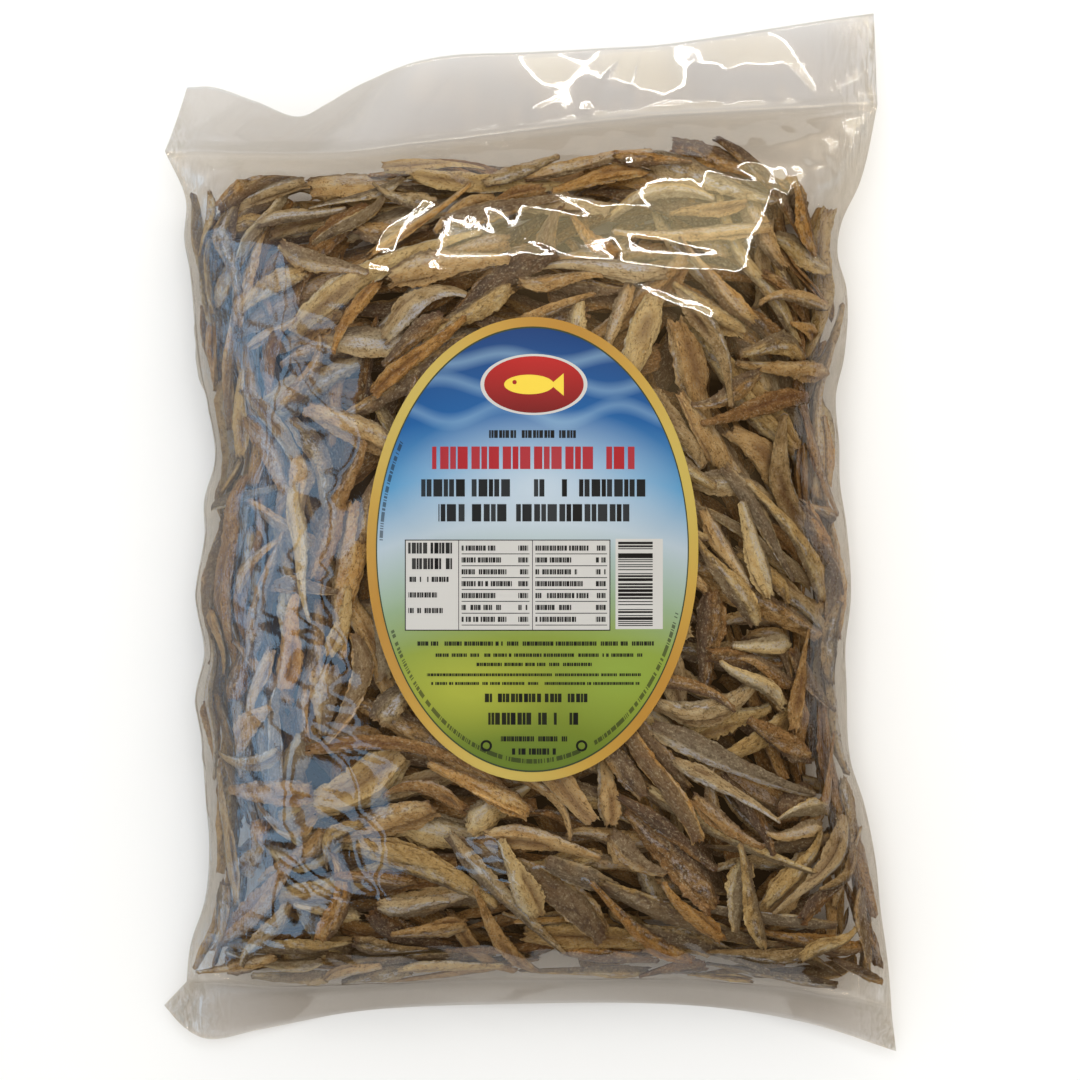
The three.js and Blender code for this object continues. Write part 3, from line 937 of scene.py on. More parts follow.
def film_piece(name):
    """The closed skin of both plies, with its marks."""
    bm = bmesh.new()
    all_rows = HEADER_ROWS + BODY_ROWS + FOOT_ROWS
    ply_grid(bm, ACROSS, all_rows, 1)
    ply_grid(bm, ACROSS // 2, all_rows // 2, -1)
    rims = [edge for edge in bm.edges if edge.is_boundary]
    bmesh.ops.bridge_loops(bm, edges=rims)
    mesh = bpy.data.meshes.new(name)
    bm.to_mesh(mesh)
    bm.free()
    flat = coordinates(mesh)
    c = flat[:, 0] + 0.5
    row = np.rint((0.5 - flat[:, 1]) * all_rows)
    made = np.where((flat[:, 2] > 0)[:, None], film_points(c, row, True), film_points(c, row, False))
    put_points(mesh, made)
    past_top = made[:, 1] - along(TOP_WELD, made[:, 0])
    past_low = along(LOW_WELD, made[:, 0]) - made[:, 1]
    past = np.maximum(past_top, past_low)
    band = np.zeros((len(made), 4))
    band[:, 0] = smooth(-0.6, 0, past) * (1 - smooth(WELD_WIDE, WELD_WIDE + 0.6, past))
    # the low flap takes only part of the flap's tint: painted light against the bag's shadow
    band[:, 1] = smooth(-0.6, 0, past_top) + FOOT_TINT_PAINTED_LIGHT * smooth(-0.6, 0, past_low)
    from_left = made[:, 0] - along(LEFT_SIDE, made[:, 1])
    from_right = along(RIGHT_SIDE, made[:, 1]) - made[:, 0]
    from_rim = np.minimum(from_left, from_right)
    band[:, 2] = np.exp(-np.maximum(from_rim, 0) / 7)
    weld = mesh.attributes.new("weld", "FLOAT_COLOR", "POINT")
    weld.data.foreach_set("color", band.ravel())
    bm = bmesh.new()
    bm.from_mesh(mesh)
    bmesh.ops.recalc_face_normals(bm, faces=bm.faces)
    bm.to_mesh(mesh)
    bm.free()
    mesh.shade_smooth()
    mesh.update()
    return link_piece(name, mesh)


film = film_piece("clear_film")
print("film:", len(film.data.polygons), "faces")

# %% [markdown]
# Deep in the heap it is dark and nothing can be made out. A plain body fills that space, so a gap
# between fish ends in shadow and not in daylight from behind. Its dark brown is painted shade.

# %% The dark middle
# its top below the crown, its underside over the bag's, and its least thickness
MIDDLE_BELOW = 26.5
MIDDLE_ABOVE = 11
MIDDLE_THIN = 0.8


def middle_piece(name):
    """A cushion that fills the heap's dark inside, drawn in at its corners."""
    bm = bmesh.new()
    bmesh.ops.create_cube(bm, size=2)
    bmesh.ops.subdivide_edges(bm, edges=bm.edges, cuts=11, use_grid_fill=True)
    mesh = bpy.data.meshes.new(name)
    bm.to_mesh(mesh)
    bm.free()
    unit = coordinates(mesh)
    waist = 1 - 0.12 * unit[:, 1] ** 6
    ends = 1 - 0.08 * unit[:, 0] ** 6
    x, y = plan_place(0.5 + 0.42 * unit[:, 0] * waist, 0.53 - 0.395 * unit[:, 1] * ends)
    high, under = heights(x, y)
    top = high - MIDDLE_BELOW
    low = np.minimum(under + MIDDLE_ABOVE, top - MIDDLE_THIN)
    z = low + (top - low) * (unit[:, 2] + 1) / 2
    put_points(mesh, np.stack([x, y, z], axis=1))
    mesh.shade_smooth()
    mesh.update()
    return link_piece(name, mesh)


middle = middle_piece("dark_middle")
print("dark middle:", len(middle.data.polygons), "faces")

# %% [markdown]
# The label is printed paper under gloss, stuck to the film after filling. It bridges the bumps below
# it, so it only keeps a slow swell. A strip from the centre to the rim and back is spun into a round
# plate, which is then stretched to the oval and laid on the crown.

# %% The label
LABEL_RINGS = 22
LABEL_TURNS = 144
LABEL_THICK = 0.32
# the label's face over the crown, and how far it swells
LABEL_LIFT = 0.75
LABEL_SWELL_HIGH = 0.3
LABEL_SWELL = waves(21, 6, 45, 110)


def label_piece(name):
    """A thin oval plate that lies along the crown."""
    bm = bmesh.new()
    shares = [k / LABEL_RINGS for k in range(LABEL_RINGS + 1)]
    line = [bm.verts.new((share, 0, 1)) for share in shares]
    line += [bm.verts.new((share, 0, -1)) for share in reversed(shares)]
    edges = [bm.edges.new(pair) for pair in zip(line[:-1], line[1:])]
    turn = {"axis": (0, 0, 1), "angle": 2 * math.pi, "steps": LABEL_TURNS, "use_merge": True}
    bmesh.ops.spin(bm, geom=line + edges, cent=(0, 0, 0), **turn)
    bmesh.ops.remove_doubles(bm, verts=bm.verts, dist=1e-5)
    bmesh.ops.recalc_face_normals(bm, faces=bm.faces)
    mesh = bpy.data.meshes.new(name)
    bm.to_mesh(mesh)
    bm.free()
    unit = coordinates(mesh)
    x = LABEL_AT[0] + unit[:, 0] * LABEL_HALF[0]
    y = LABEL_AT[1] + unit[:, 1] * LABEL_HALF[1]
    high = heights(x, y)[0]
    rim = smooth(0.9, 1.0, np.hypot(unit[:, 0], unit[:, 1]))
    face = high + LABEL_LIFT + LABEL_SWELL_HIGH * swell(x, y, LABEL_SWELL) * (1 - 0.5 * rim)
    z = face + LABEL_THICK * (unit[:, 2] - 1) / 2
    put_points(mesh, np.stack([x, y, z], axis=1))
    mesh.shade_smooth()
    mesh.set_sharp_from_angle(angle=math.radians(40))
    mesh.update()
    return link_piece(name, mesh)


label = label_piece("oval_label")
print("label:", len(label.data.polygons), "faces")

# %% [markdown]
# The materials come next. A few helpers keep the node work short: one adds a node and sets it up, one
# does a sum, one mixes two colours, and one runs a ramp of colours.

# %% Helpers for materials
def fill_sockets(tree, node, values):
    """Plain values set on sockets, and other nodes' outputs linked to them."""
    for key, value in values.items():
        if isinstance(value, bpy.types.NodeSocket):
            tree.links.new(value, node.inputs[key])
        else:
            node.inputs[key].default_value = value


def add(tree, kind, values=None, **settings):
    """A new node with its settings and its plain or linked inputs."""
    node = tree.nodes.new("ShaderNode" + kind)
    for key, value in settings.items():
        setattr(node, key, value)
    fill_sockets(tree, node, values or {})
    return node


def sums(tree, operation, first, second=0.0, third=0.0, clamp=False):
    """One math node, and its result."""
    values = {0: first, 1: second, 2: third}
    return add(tree, "Math", values, operation=operation, use_clamp=clamp).outputs[0]


def spread(tree, value, low, high, to_low=0.0, to_high=1.0):
    """A value moved from one range to another, and held inside it."""
    return add(tree, "MapRange", {0: value, 1: low, 2: high, 3: to_low, 4: to_high}).outputs[0]


def blend(tree, share, first, second, how="MIX"):
    """Two colours mixed."""
    node = add(tree, "Mix", data_type="RGBA", blend_type=how)
    fill_sockets(tree, node, {0: share, 6: first, 7: second})
    return node.outputs[2]


def colour(red, green, blue):
    """A display colour of 0 to 255 a channel as the linear value that shaders use."""
    made = [v / 3294.6 if v <= 10 else ((v / 255 + 0.055) / 1.055) ** 2.4 for v in (red, green, blue)]
    return (*made, 1.0)


def ramp(tree, share, stops):
    """A run of display colours along a value."""
    node = add(tree, "ValToRGB", {0: share})
    while len(node.color_ramp.elements) < len(stops):
        node.color_ramp.elements.new(0.5)
    for element, (place, shade) in zip(node.color_ramp.elements, stops):
        element.position = place
        element.color = colour(*shade)
    return node.outputs[0]


def new_group(name, inputs, outputs):
    """An empty node group with its sockets, and its input and output nodes."""
    group = bpy.data.node_groups.new(name, "ShaderNodeTree")
    for socket, kind in inputs.items():
        group.interface.new_socket(socket, in_out="INPUT", socket_type="NodeSocket" + kind)
    for socket, kind in outputs.items():
        group.interface.new_socket(socket, in_out="OUTPUT", socket_type="NodeSocket" + kind)
    return group, group.nodes.new("NodeGroupInput").outputs, group.nodes.new("NodeGroupOutput")


def new_material(name):
    """A material with one Principled shader, ready for its nodes."""
    material = bpy.data.materials.new(name)
    material.use_nodes = True
    tree = material.node_tree
    tree.nodes.clear()
    surface = add(tree, "BsdfPrincipled")
    output = add(tree, "OutputMaterial", {"Surface": surface.outputs[0]})
    return material, tree, surface, output


def put_on(piece, material):
    """The material as the piece's only one."""
    piece.data.materials.clear()
    piece.data.materials.append(material)


print("middle grey as shaders use it:", round(colour(128, 128, 128)[0], 3))

# %% [markdown]
# Dried fish skin is dull, greyish tan and finely speckled, darker along the back and ochre towards the
# belly. Salt and dust sit on it, the slit shows rust, and a broken silver stripe is left on the flanks
# of some. One node group makes those masks from each fish's own straight coordinates and from how far
# round the body a place is, and every kind of fish mixes them its own way.

# %% Skin masks
def skin_group():
    """Masks between 0 and 1 for dried skin, and a height for its relief."""
    masks = ("Grain", "Flesh", "Speck", "CrackShade", "Silver", "Belly", "Back", "Slit", "Own", "End", "Height")
    group, _, output = new_group("dried_skin", {}, {mask: "Float" for mask in masks})
    place = add(group, "Attribute", attribute_name="skin").outputs["Vector"]
    tint = add(group, "Attribute", attribute_name="tint")
    own, slit, along_fish = add(group, "SeparateColor", {0: tint.outputs["Color"]}).outputs
    belly = tint.outputs["Alpha"]

    def noise(stretch, detail, roughness, warp=0.0):
        """Noise with that many turns a metre along, across and through the fish."""
        vector = add(group, "VectorMath", {0: place, 1: stretch}, operation="MULTIPLY").outputs[0]
        settings = {"Vector": vector, "Scale": 1.0, "Detail": detail, "Roughness": roughness}
        return add(group, "TexNoise", {**settings, "Distortion": warp}).outputs["Fac"]

    grain = noise((190, 400, 400), 5.0, 0.68, 0.5)
    flesh = noise((100, 150, 150), 4.0, 0.62, 0.4)
    speck = noise((1100, 1350, 1350), 3.0, 0.7)
    pock = noise((420, 640, 640), 3.0, 0.6)
    flake = noise((380, 700, 700), 3.0, 0.6)
    # the skin's cracks are real marks, but they have no relief, and their dark colour is painted shade in
    # them
    crack_shade = noise((85, 420, 420), 2.0, 0.5, 0.7)
    crack_shade = sums(group, "ABSOLUTE", sums(group, "SUBTRACT", crack_shade, 0.5))
    crack_shade = spread(group, crack_shade, 0.003, 0.018, 1.0, 0.0)
    crack_shade = sums(group, "MULTIPLY", crack_shade, spread(group, flesh, 0.46, 0.56))
    uneven = sums(group, "MULTIPLY_ADD", sums(group, "SUBTRACT", flesh, 0.5), 0.5, belly)
    band = sums(group, "ABSOLUTE", sums(group, "SUBTRACT", uneven, 0.46))
    fresh = spread(group, own, 0.66, 0.74)
    band = sums(group, "MULTIPLY_ADD", fresh, -0.07, band)
    band = spread(group, band, 0.07, 0.15, 1.0, 0.0)
    kept = sums(group, "MULTIPLY", spread(group, flake, 0.44, 0.54, 0.06), spread(group, flesh, 0.58, 0.48))
    kept = sums(group, "MULTIPLY_ADD", fresh, 0.4, kept, clamp=True)
    kept = sums(group, "MULTIPLY", kept, spread(group, speck, 0.42, 0.52, 0.25))
    silver = sums(group, "MULTIPLY", band, kept)
    silver = sums(group, "MULTIPLY", silver, spread(group, along_fish, 0.08, 0.2))
    low = spread(group, uneven, 0.6, 0.78)
    back = spread(group, uneven, 0.34, 0.16)
    tips = sums(group, "ADD", spread(group, along_fish, 0.1, 0.0), spread(group, along_fish, 0.94, 1.0))
    height = sums(group, "MULTIPLY_ADD", speck, 0.6, grain)
    speck = sums(group, "MULTIPLY_ADD", sums(group, "SUBTRACT", pock, 0.5), 0.45, speck)
    made = (grain, flesh, speck, crack_shade, silver, low, back, slit, own, tips, height)
    for mask, value in zip(masks, made):
        group.links.new(value, output.inputs[mask])
    return group


dried_skin = skin_group()
print("nodes for the skin masks:", len(dried_skin.nodes))

# %% [markdown]
# The kinds differ in a few display colours: the deep of the grain, the skin, the pale dust on it, and
# the flesh where the skin is gone. The last number is how much silver is left.

# %% Fish materials
FISH_LOOKS = {
    "tan": ((86, 63, 35), (172, 140, 92), (216, 190, 140), (188, 142, 80), 0.55),
    "silver": ((76, 62, 42), (154, 134, 97), (206, 189, 152), (174, 138, 86), 0.95),
    "brown": ((60, 40, 20), (130, 98, 57), (184, 150, 98), (156, 109, 56), 0.4),
    "ochre": ((86, 58, 26), (172, 131, 72), (216, 182, 120), (194, 138, 66), 0.35),
    "pale": ((100, 78, 46), (188, 162, 110), (224, 205, 156), (198, 158, 92), 0.55),
    # deep: darker than every kind near the film, as painted shade for fish deep in the heap
    "deep": ((58, 36, 14), (128, 93, 48), (173, 135, 80), (146, 99, 46), 0.0),
}
RUST = colour(88, 50, 32)
BACK = colour(84, 70, 64)
SILVER = colour(190, 190, 198)
GREY_DUST = colour(186, 172, 142)


def fish_material(name, look):
    """Dried skin of one kind, mixed from the masks."""
    deep, main, dust, flesh, silver = look
    material, tree, surface, _ = new_material(name)
    skin = add(tree, "Group", node_tree=dried_skin).outputs
    tone = sums(tree, "MULTIPLY_ADD", skin["Own"], 0.24, sums(tree, "SUBTRACT", skin["Grain"], 0.12))
    base = ramp(tree, tone, [(0.3, deep), (0.46, main), (0.66, dust)])
    bare = spread(tree, skin["Flesh"], 0.5, 0.6, 0.0, 0.45)
    ochre = sums(tree, "MAXIMUM", bare, sums(tree, "MULTIPLY", skin["Belly"], 0.45))
    base = blend(tree, ochre, base, colour(*flesh))
    base = blend(tree, sums(tree, "MULTIPLY", skin["Back"], 0.7), base, BACK)
    base = blend(tree, spread(tree, skin["Speck"], 0.55, 0.68, 0.0, 0.65), base, GREY_DUST)
    base = blend(tree, spread(tree, skin["Speck"], 0.44, 0.33, 0.0, 0.75), base, colour(*deep))
    # painted shade: the cracks are painted in the darkest colour
    base = blend(tree, sums(tree, "MULTIPLY", skin["CrackShade"], 0.6), base, colour(*deep))
    shine = sums(tree, "MULTIPLY", skin["Silver"], silver)
    base = blend(tree, sums(tree, "MULTIPLY", shine, 0.95), base, SILVER)
    base = blend(tree, sums(tree, "MULTIPLY", skin["Slit"], 0.65), base, RUST)
    base = blend(tree, sums(tree, "MULTIPLY", skin["End"], 0.45), base, RUST)
    rough = spread(tree, shine, 0.0, 1.0, 0.75, 0.36)
    bump = add(tree, "Bump", {"Height": skin["Height"], "Strength": 1.0, "Distance": 0.0012})
    fill_sockets(tree, surface, {"Base Color": base, "Roughness": rough, "Normal": bump.outputs[0]})
    surface.inputs["Specular IOR Level"].default_value = 0.35
    return material


for kind, look in FISH_LOOKS.items():
    put_on(fish_pieces[kind], fish_material("fish_" + kind, look))
put_on(fish_pieces["under"], fish_pieces["tan"].data.materials[0])
print("fish materials:", len(FISH_LOOKS))

# %% [markdown]
# The middle takes a rough dark brown with a little unevenness, painted shade for the inside of the
# heap. Nobody sees more of it than a shadow.

# %% Dark middle material
middle_shade_material, tree, surface, _ = new_material("heap_shadow")
place = add(tree, "TexCoord").outputs["Object"]
mottle = add(tree, "TexNoise", {"Vector": place, "Scale": 90.0, "Detail": 3.0}).outputs["Fac"]
# painted shade: dark browns for the shaded inside of the heap
fill_sockets(tree, surface, {"Base Color": ramp(tree, mottle, [(0.3, (22, 14, 8)), (0.7, (52, 36, 22))])})
surface.inputs["Roughness"].default_value = 0.95
put_on(middle, middle_shade_material)
print("nodes for the dark middle:", len(tree.nodes))

# %% [markdown]
# Thin clear film doesn't bend what is seen through it, so it is a Transparent shader with a faint warm
# grey tint. What it does do is mirror: a little when seen straight on, and more at a slant. The
# Fresnel node takes the far side of a shell for the inside of solid glass, so the share is worked out
# from the Layer Weight's facing value instead, which is the same from both sides. A mirror made with
# the Principled shader is mixed in by that share.

# %% Film material
# what one ply leaves of the light that goes through it: over the bag, on a flap, and in a weld
CLEAR = (0.945, 0.939, 0.936, 1)
FLAP = (0.89, 0.882, 0.878, 1)
WELDED = (0.86, 0.848, 0.836, 1)
# what is mixed in at a slant, where dust on the film shows more, and the most of it
CLEAR_DUST = (0.55, 0.45, 0.3, 1)
FLAP_DUST = (0.7, 0.66, 0.61, 1)
MOST_DUST = 0.35
# and what is mixed in for streaks beside the sides
STREAKED = (0.74, 0.7, 0.64, 1)
# share of light that the film mirrors straight on, over the bag and on a flap, and what a slant adds
MIRROR_BAG = 0.075
MIRROR_FLAP = 0.045
MIRROR_SLANT = 0.1
film_material, tree, surface, output = new_material("clear_film")
place = add(tree, "TexCoord").outputs["Object"]
fine = add(tree, "TexNoise", {"Vector": place, "Scale": 240.0, "Detail": 2.0}).outputs["Fac"]
bump = add(tree, "Bump", {"Height": fine, "Strength": 0.15, "Distance": 0.0002})
surface.inputs["Metallic"].default_value = 1.0
surface.inputs["Base Color"].default_value = (0.96, 0.96, 0.96, 1)
weld = add(tree, "Attribute", attribute_name="weld").outputs["Color"]
in_weld, on_flap, by_rim = add(tree, "SeparateColor", {0: weld}).outputs
stretched = add(tree, "VectorMath", {0: place, 1: (620, 110, 300)}, operation="MULTIPLY").outputs[0]
streaks = {"Vector": stretched, "Scale": 1.0, "Detail": 4.0, "Distortion": 1.2}
streak = add(tree, "TexNoise", streaks).outputs["Fac"]
streak = sums(tree, "MULTIPLY", spread(tree, streak, 0.4, 0.62), by_rim)
bump = add(tree, "Bump", {"Height": streak, "Normal": bump.outputs[0], "Strength": 0.5, "Distance": 0.0006})
rough = spread(tree, in_weld, 0.0, 1.0, 0.06, 0.2)
fill_sockets(tree, surface, {"Normal": bump.outputs[0], "Roughness": rough})
facing = add(tree, "LayerWeight", {"Blend": 0.5, "Normal": bump.outputs[0]}).outputs["Facing"]
clear = blend(tree, on_flap, CLEAR, FLAP)
clear = blend(tree, in_weld, clear, WELDED)
dust = blend(tree, on_flap, CLEAR_DUST, FLAP_DUST)
clear = blend(tree, sums(tree, "MINIMUM", facing, MOST_DUST), clear, dust)
clear = blend(tree, streak, clear, STREAKED)
seen_through = add(tree, "BsdfTransparent", {"Color": clear})
slant = sums(tree, "POWER", facing, 4.0)
straight_on = spread(tree, on_flap, 0.0, 1.0, MIRROR_BAG, MIRROR_FLAP)
share = sums(tree, "MULTIPLY_ADD", slant, MIRROR_SLANT, straight_on, clamp=True)
mix = add(tree, "MixShader", {0: share, 1: seen_through.outputs[0], 2: surface.outputs[0]})
fill_sockets(tree, output, {"Surface": mix.outputs[0]})
put_on(film, film_material)
print("nodes for the film:", len(tree.nodes))

# %% [markdown]
# The label's print is all simple shapes. Places on it are millimetres from its centre. One node group
# draws a soft-cornered bar, another a row of blocks of uneven length, and a third measures an oval.

# %% Shapes for the print
def bar_group():
    """1 inside a bar and 0 outside, with the bar's corners rounded off."""
    sockets = {"Place": "Vector", "Centre": "Vector", "Half": "Vector", "Corner": "Float"}
    group, given, output = new_group("printed_bar", sockets, {"Mask": "Float"})
    off = add(group, "VectorMath", {0: given["Place"], 1: given["Centre"]}, operation="SUBTRACT").outputs[0]
    off = add(group, "VectorMath", {0: off}, operation="ABSOLUTE").outputs[0]
    past = add(group, "VectorMath", {0: off, 1: given["Half"]}, operation="SUBTRACT").outputs[0]
    past = add(group, "VectorMath", {0: past, 1: given["Corner"]}, operation="ADD").outputs[0]
    past = add(group, "VectorMath", {0: past, 1: (0, 0, 0)}, operation="MAXIMUM").outputs[0]
    flat = add(group, "VectorMath", {0: past, 1: (1, 1, 0)}, operation="MULTIPLY").outputs[0]
    away = add(group, "VectorMath", {0: flat}, operation="LENGTH").outputs["Value"]
    group.links.new(sums(group, "LESS_THAN", away, given["Corner"]), output.inputs["Mask"])
    return group


def blocks_group():
    """A bar broken into blocks of uneven length, with each block's ink a little different."""
    sockets = {"Place": "Vector", "Centre": "Vector", "Half": "Vector", "Block": "Float"}
    group, given, output = new_group("printed_blocks", sockets, {"Mask": "Float"})
    values = {"Place": given["Place"], "Centre": given["Centre"], "Half": given["Half"], "Corner": 0.08}
    inside = group.nodes.new("ShaderNodeGroup")
    inside.node_tree = printed_bar
    fill_sockets(group, inside, values)
    x, y, _ = add(group, "SeparateXYZ", {0: given["Place"]}).outputs
    row = add(group, "SeparateXYZ", {0: given["Centre"]}).outputs[1]
    steps = sums(group, "DIVIDE", x, given["Block"])
    wobble = sums(group, "SINE", sums(group, "MULTIPLY_ADD", steps, 2.1, sums(group, "MULTIPLY", row, 2.3)))
    count = sums(group, "MULTIPLY_ADD", wobble, 0.22, steps)
    cell = sums(group, "FLOOR", count)
    part = sums(group, "FRACT", count)
    stroke = sums(group, "LESS_THAN", part, 0.8)
    key = add(group, "CombineXYZ", {0: cell, 1: row}).outputs[0]
    chance = add(group, "TexWhiteNoise", {"Vector": key}, noise_dimensions="2D").outputs["Value"]
    kept = sums(group, "GREATER_THAN", chance, 0.13)
    ink = spread(group, chance, 0.0, 1.0, 0.94, 1.0)
    mask = sums(group, "MULTIPLY", sums(group, "MULTIPLY", stroke, kept), ink)
    mask = sums(group, "MULTIPLY", mask, inside.outputs[0])
    group.links.new(mask, output.inputs["Mask"])
    return group


def oval_group():
    """How far out a place is on an oval: 1 on its edge, less inside."""
    sockets = {"Place": "Vector", "Centre": "Vector", "Half": "Vector"}
    group, given, output = new_group("printed_oval", sockets, {"Reach": "Float"})
    off = add(group, "VectorMath", {0: given["Place"], 1: given["Centre"]}, operation="SUBTRACT").outputs[0]
    unit = add(group, "VectorMath", {0: off, 1: given["Half"]}, operation="DIVIDE").outputs[0]
    flat = add(group, "VectorMath", {0: unit, 1: (1, 1, 0)}, operation="MULTIPLY").outputs[0]
    reach = add(group, "VectorMath", {0: flat}, operation="LENGTH").outputs["Value"]
    group.links.new(reach, output.inputs["Reach"])
    return group


printed_bar = bar_group()
printed_blocks = blocks_group()
printed_oval = oval_group()
print("node groups so far:", len(bpy.data.node_groups))

# %% [markdown]
# With those shapes the print is painted, one shape over another. A small class keeps the print's nodes,
# the place on the label, and the colours painted so far.

# %% Paint for the label
INK = colour(14, 15, 16)
WHITE = colour(190, 188, 184)


class Print:
    """A print in the making: its nodes, a place on the label, and the colours so far."""

    def __init__(self, name):
        self.material, self.tree, self.surface, _ = new_material(name)
        place = add(self.tree, "TexCoord").outputs["Object"]
        centre = (np.array([*LABEL_AT, 0]) - OFFSET) * MM
        place = add(self.tree, "VectorMath", {0: place, 1: tuple(-centre)}, operation="ADD").outputs[0]
        in_mm = {0: place, 1: (1 / MM, 1 / MM, 0)}
        self.place = add(self.tree, "VectorMath", in_mm, operation="MULTIPLY").outputs[0]
        self.x, self.y, _ = add(self.tree, "SeparateXYZ", {0: self.place}).outputs
        self.colours = None

    def vector(self, first, second, third):
        """Three plain numbers, or one node that joins them where a place on the label decides."""
        if isinstance(first, bpy.types.NodeSocket) or isinstance(second, bpy.types.NodeSocket):
            return add(self.tree, "CombineXYZ", {0: first, 1: second, 2: third}).outputs[0]
        return (first, second, third)

    def shape(self, drawn_by, centre, half, **more):
        """One of the groups above, at a centre and with a half size in millimetres."""
        sizes = {"Centre": self.vector(*centre, 0), "Half": self.vector(*half, 1)}
        node = add(self.tree, "Group", node_tree=drawn_by)
        fill_sockets(self.tree, node, {"Place": self.place, **sizes, **more})
        return node.outputs[0]

    def bar(self, centre, half, corner):
        return self.shape(printed_bar, centre, half, Corner=corner)

    def blocks(self, centre, half, block):
        return self.shape(printed_blocks, centre, half, Block=block)

    def oval(self, centre, half):
        return self.shape(printed_oval, centre, half)

    def product(self, first, second):
        """Two values multiplied, which for two masks is where both are 1."""
        return sums(self.tree, "MULTIPLY", first, second)

    def paint(self, mask, shade):
        """One more shape over the colours so far."""
        self.colours = blend(self.tree, mask, self.colours, shade)


art = Print("label_print")
tree = art.tree
x = art.x
y = art.y
print("nodes before the first shape:", len(tree.nodes))

# %% [markdown]
# The field runs from deep blue through pale to leaf green and is paler towards its middle. Three plain
# waves cross the blue, and two soft patches lie in the green.

# %% The field
bow = sums(tree, "MULTIPLY_ADD", art.product(x, x), 0.0035, y)
art.colours = ramp(tree, spread(tree, bow, -80.5, 86.0), [
    (0.06, (92, 112, 28)), (0.2, (122, 132, 34)), (0.3, (124, 140, 50)), (0.4, (132, 154, 120)),
    (0.54, (164, 178, 188)), (0.66, (78, 138, 180)), (0.78, (6, 82, 144)), (0.96, (4, 48, 106)),
])
glow = spread(tree, art.oval((2, 22), (44, 24)), 1.15, 0.1, 0.0, 0.7)
art.paint(glow, colour(190, 200, 208))
# y, height and strength of each wave
for level, rise, strong in ((57.0, 2.2, 0.22), (47.0, 3.0, 0.2), (66.0, 1.8, 0.25)):
    crest = sums(tree, "SINE", sums(tree, "MULTIPLY_ADD", x, 0.16, level))
    line = sums(tree, "MULTIPLY_ADD", crest, rise, level)
    gap = sums(tree, "ABSOLUTE", sums(tree, "SUBTRACT", y, line))
    art.paint(spread(tree, gap, 0.2, 3.4, strong, 0.0), colour(176, 214, 230))
# centre, half size and colour of each patch
PATCHES = [((-22, -48), (28, 16), (176, 180, 62)), ((30, -44), (24, 18), (130, 158, 60))]
for centre, half, shade in PATCHES:
    patch = spread(tree, art.oval(centre, half), 1.2, 0.2, 0.0, 0.5)
    art.paint(patch, colour(*shade))
print("nodes with the field:", len(tree.nodes))

# %% [markdown]
# A red badge with a simple yellow fish stands high on the field, and rows of blocks lie above and below
# the place of the panel.

# %% Badge and rows of blocks
LINES = [
    # centre x, centre y, half width, half height, block length
    (0.0, 39.8, 15.0, 1.35, 1.3), (0.5, 21.2, 39.0, 3.0, 2.6), (0.5, 12.6, 33.0, 3.0, 2.9),
    (1.0, -32.6, 41.0, 0.75, 0.9), (2.0, -36.6, 36.0, 0.6, 0.8), (0.5, -39.8, 20.0, 0.6, 0.8),
    (0.5, -43.4, 37.0, 0.5, 0.7), (1.0, -46.4, 36.0, 0.5, 0.7), (0.5, -51.4, 18.5, 1.5, 1.5),
    (0.5, -58.6, 15.8, 2.1, 1.8), (0.5, -65.6, 11.5, 0.9, 0.9), (0.5, -70.0, 7.6, 1.1, 1.2),
]
badge = art.oval((0.5, 57.0), (18.5, 10.6))
art.paint(sums(tree, "LESS_THAN", badge, 1.0), WHITE)
red = ramp(tree, spread(tree, y, 46.0, 68.0), [(0.0, (104, 10, 12)), (1.0, (176, 24, 20))])
art.paint(sums(tree, "LESS_THAN", badge, 0.93), red)
body = sums(tree, "LESS_THAN", art.oval((-1.2, 57.0), (8.6, 3.4)), 1.0)
tail_x = sums(tree, "SUBTRACT", x, 6.2)
off_axis = sums(tree, "ABSOLUTE", sums(tree, "SUBTRACT", y, 57.0))
tail = sums(tree, "LESS_THAN", off_axis, art.product(tail_x, 0.85))
tail = art.product(tail, sums(tree, "LESS_THAN", tail_x, 4.6))
fish = sums(tree, "MAXIMUM", body, tail)
not_eye = sums(tree, "GREATER_THAN", art.oval((-6.2, 57.8), (0.75, 0.75)), 1.0)
art.paint(art.product(fish, not_eye), colour(226, 196, 60))
art.paint(art.blocks((0.3, 31.6), (35.0, 3.9), 3.6), colour(158, 16, 26))
for line_x, line_y, half_x, half_y, block in LINES:
    art.paint(art.blocks((line_x, line_y), (half_x, half_y), block), INK)
print("nodes with badge and rows:", len(tree.nodes))

# %% [markdown]
# The white panel has a narrow first column of five rows, and then two columns of seven rows with rules
# between them. One drawing serves all seven rows, because it is moved to the row that a place is
# nearest to. Seven drawings would look the same but take much longer to render.

# %% The panel
# centre and half size of the panel
PANEL = ((-8.6, -12.4), (35.2, 15.4))
# left edge and right edge of the two wide columns, the rows' spacing, and the rule below a row
COLUMNS = ((-24.5, -1.0), (1.0, 25.8))
ROW_STEP = 4.1
RULE_BELOW = 2.0
LAST_ROW = 6.0
# half height of a row of small blocks, and the length of its blocks
SMALL = (0.9, 0.85)
(panel_x, panel_y), (panel_w, panel_h) = PANEL
panel_top = panel_y + panel_h - 2.6
art.paint(art.bar(PANEL[0], (panel_w + 0.35, panel_h + 0.35), 0.1), INK)
art.paint(art.bar(PANEL[0], PANEL[1], 0.1), WHITE)
for row in range(5):
    bold = row < 2
    half = 7.6 if bold else 5.0 + row % 3
    half_y, block = (1.9, 1.3) if bold else SMALL
    art.paint(art.blocks((-43.0 + half, panel_top - row * 5.4), (half, half_y), block), INK)


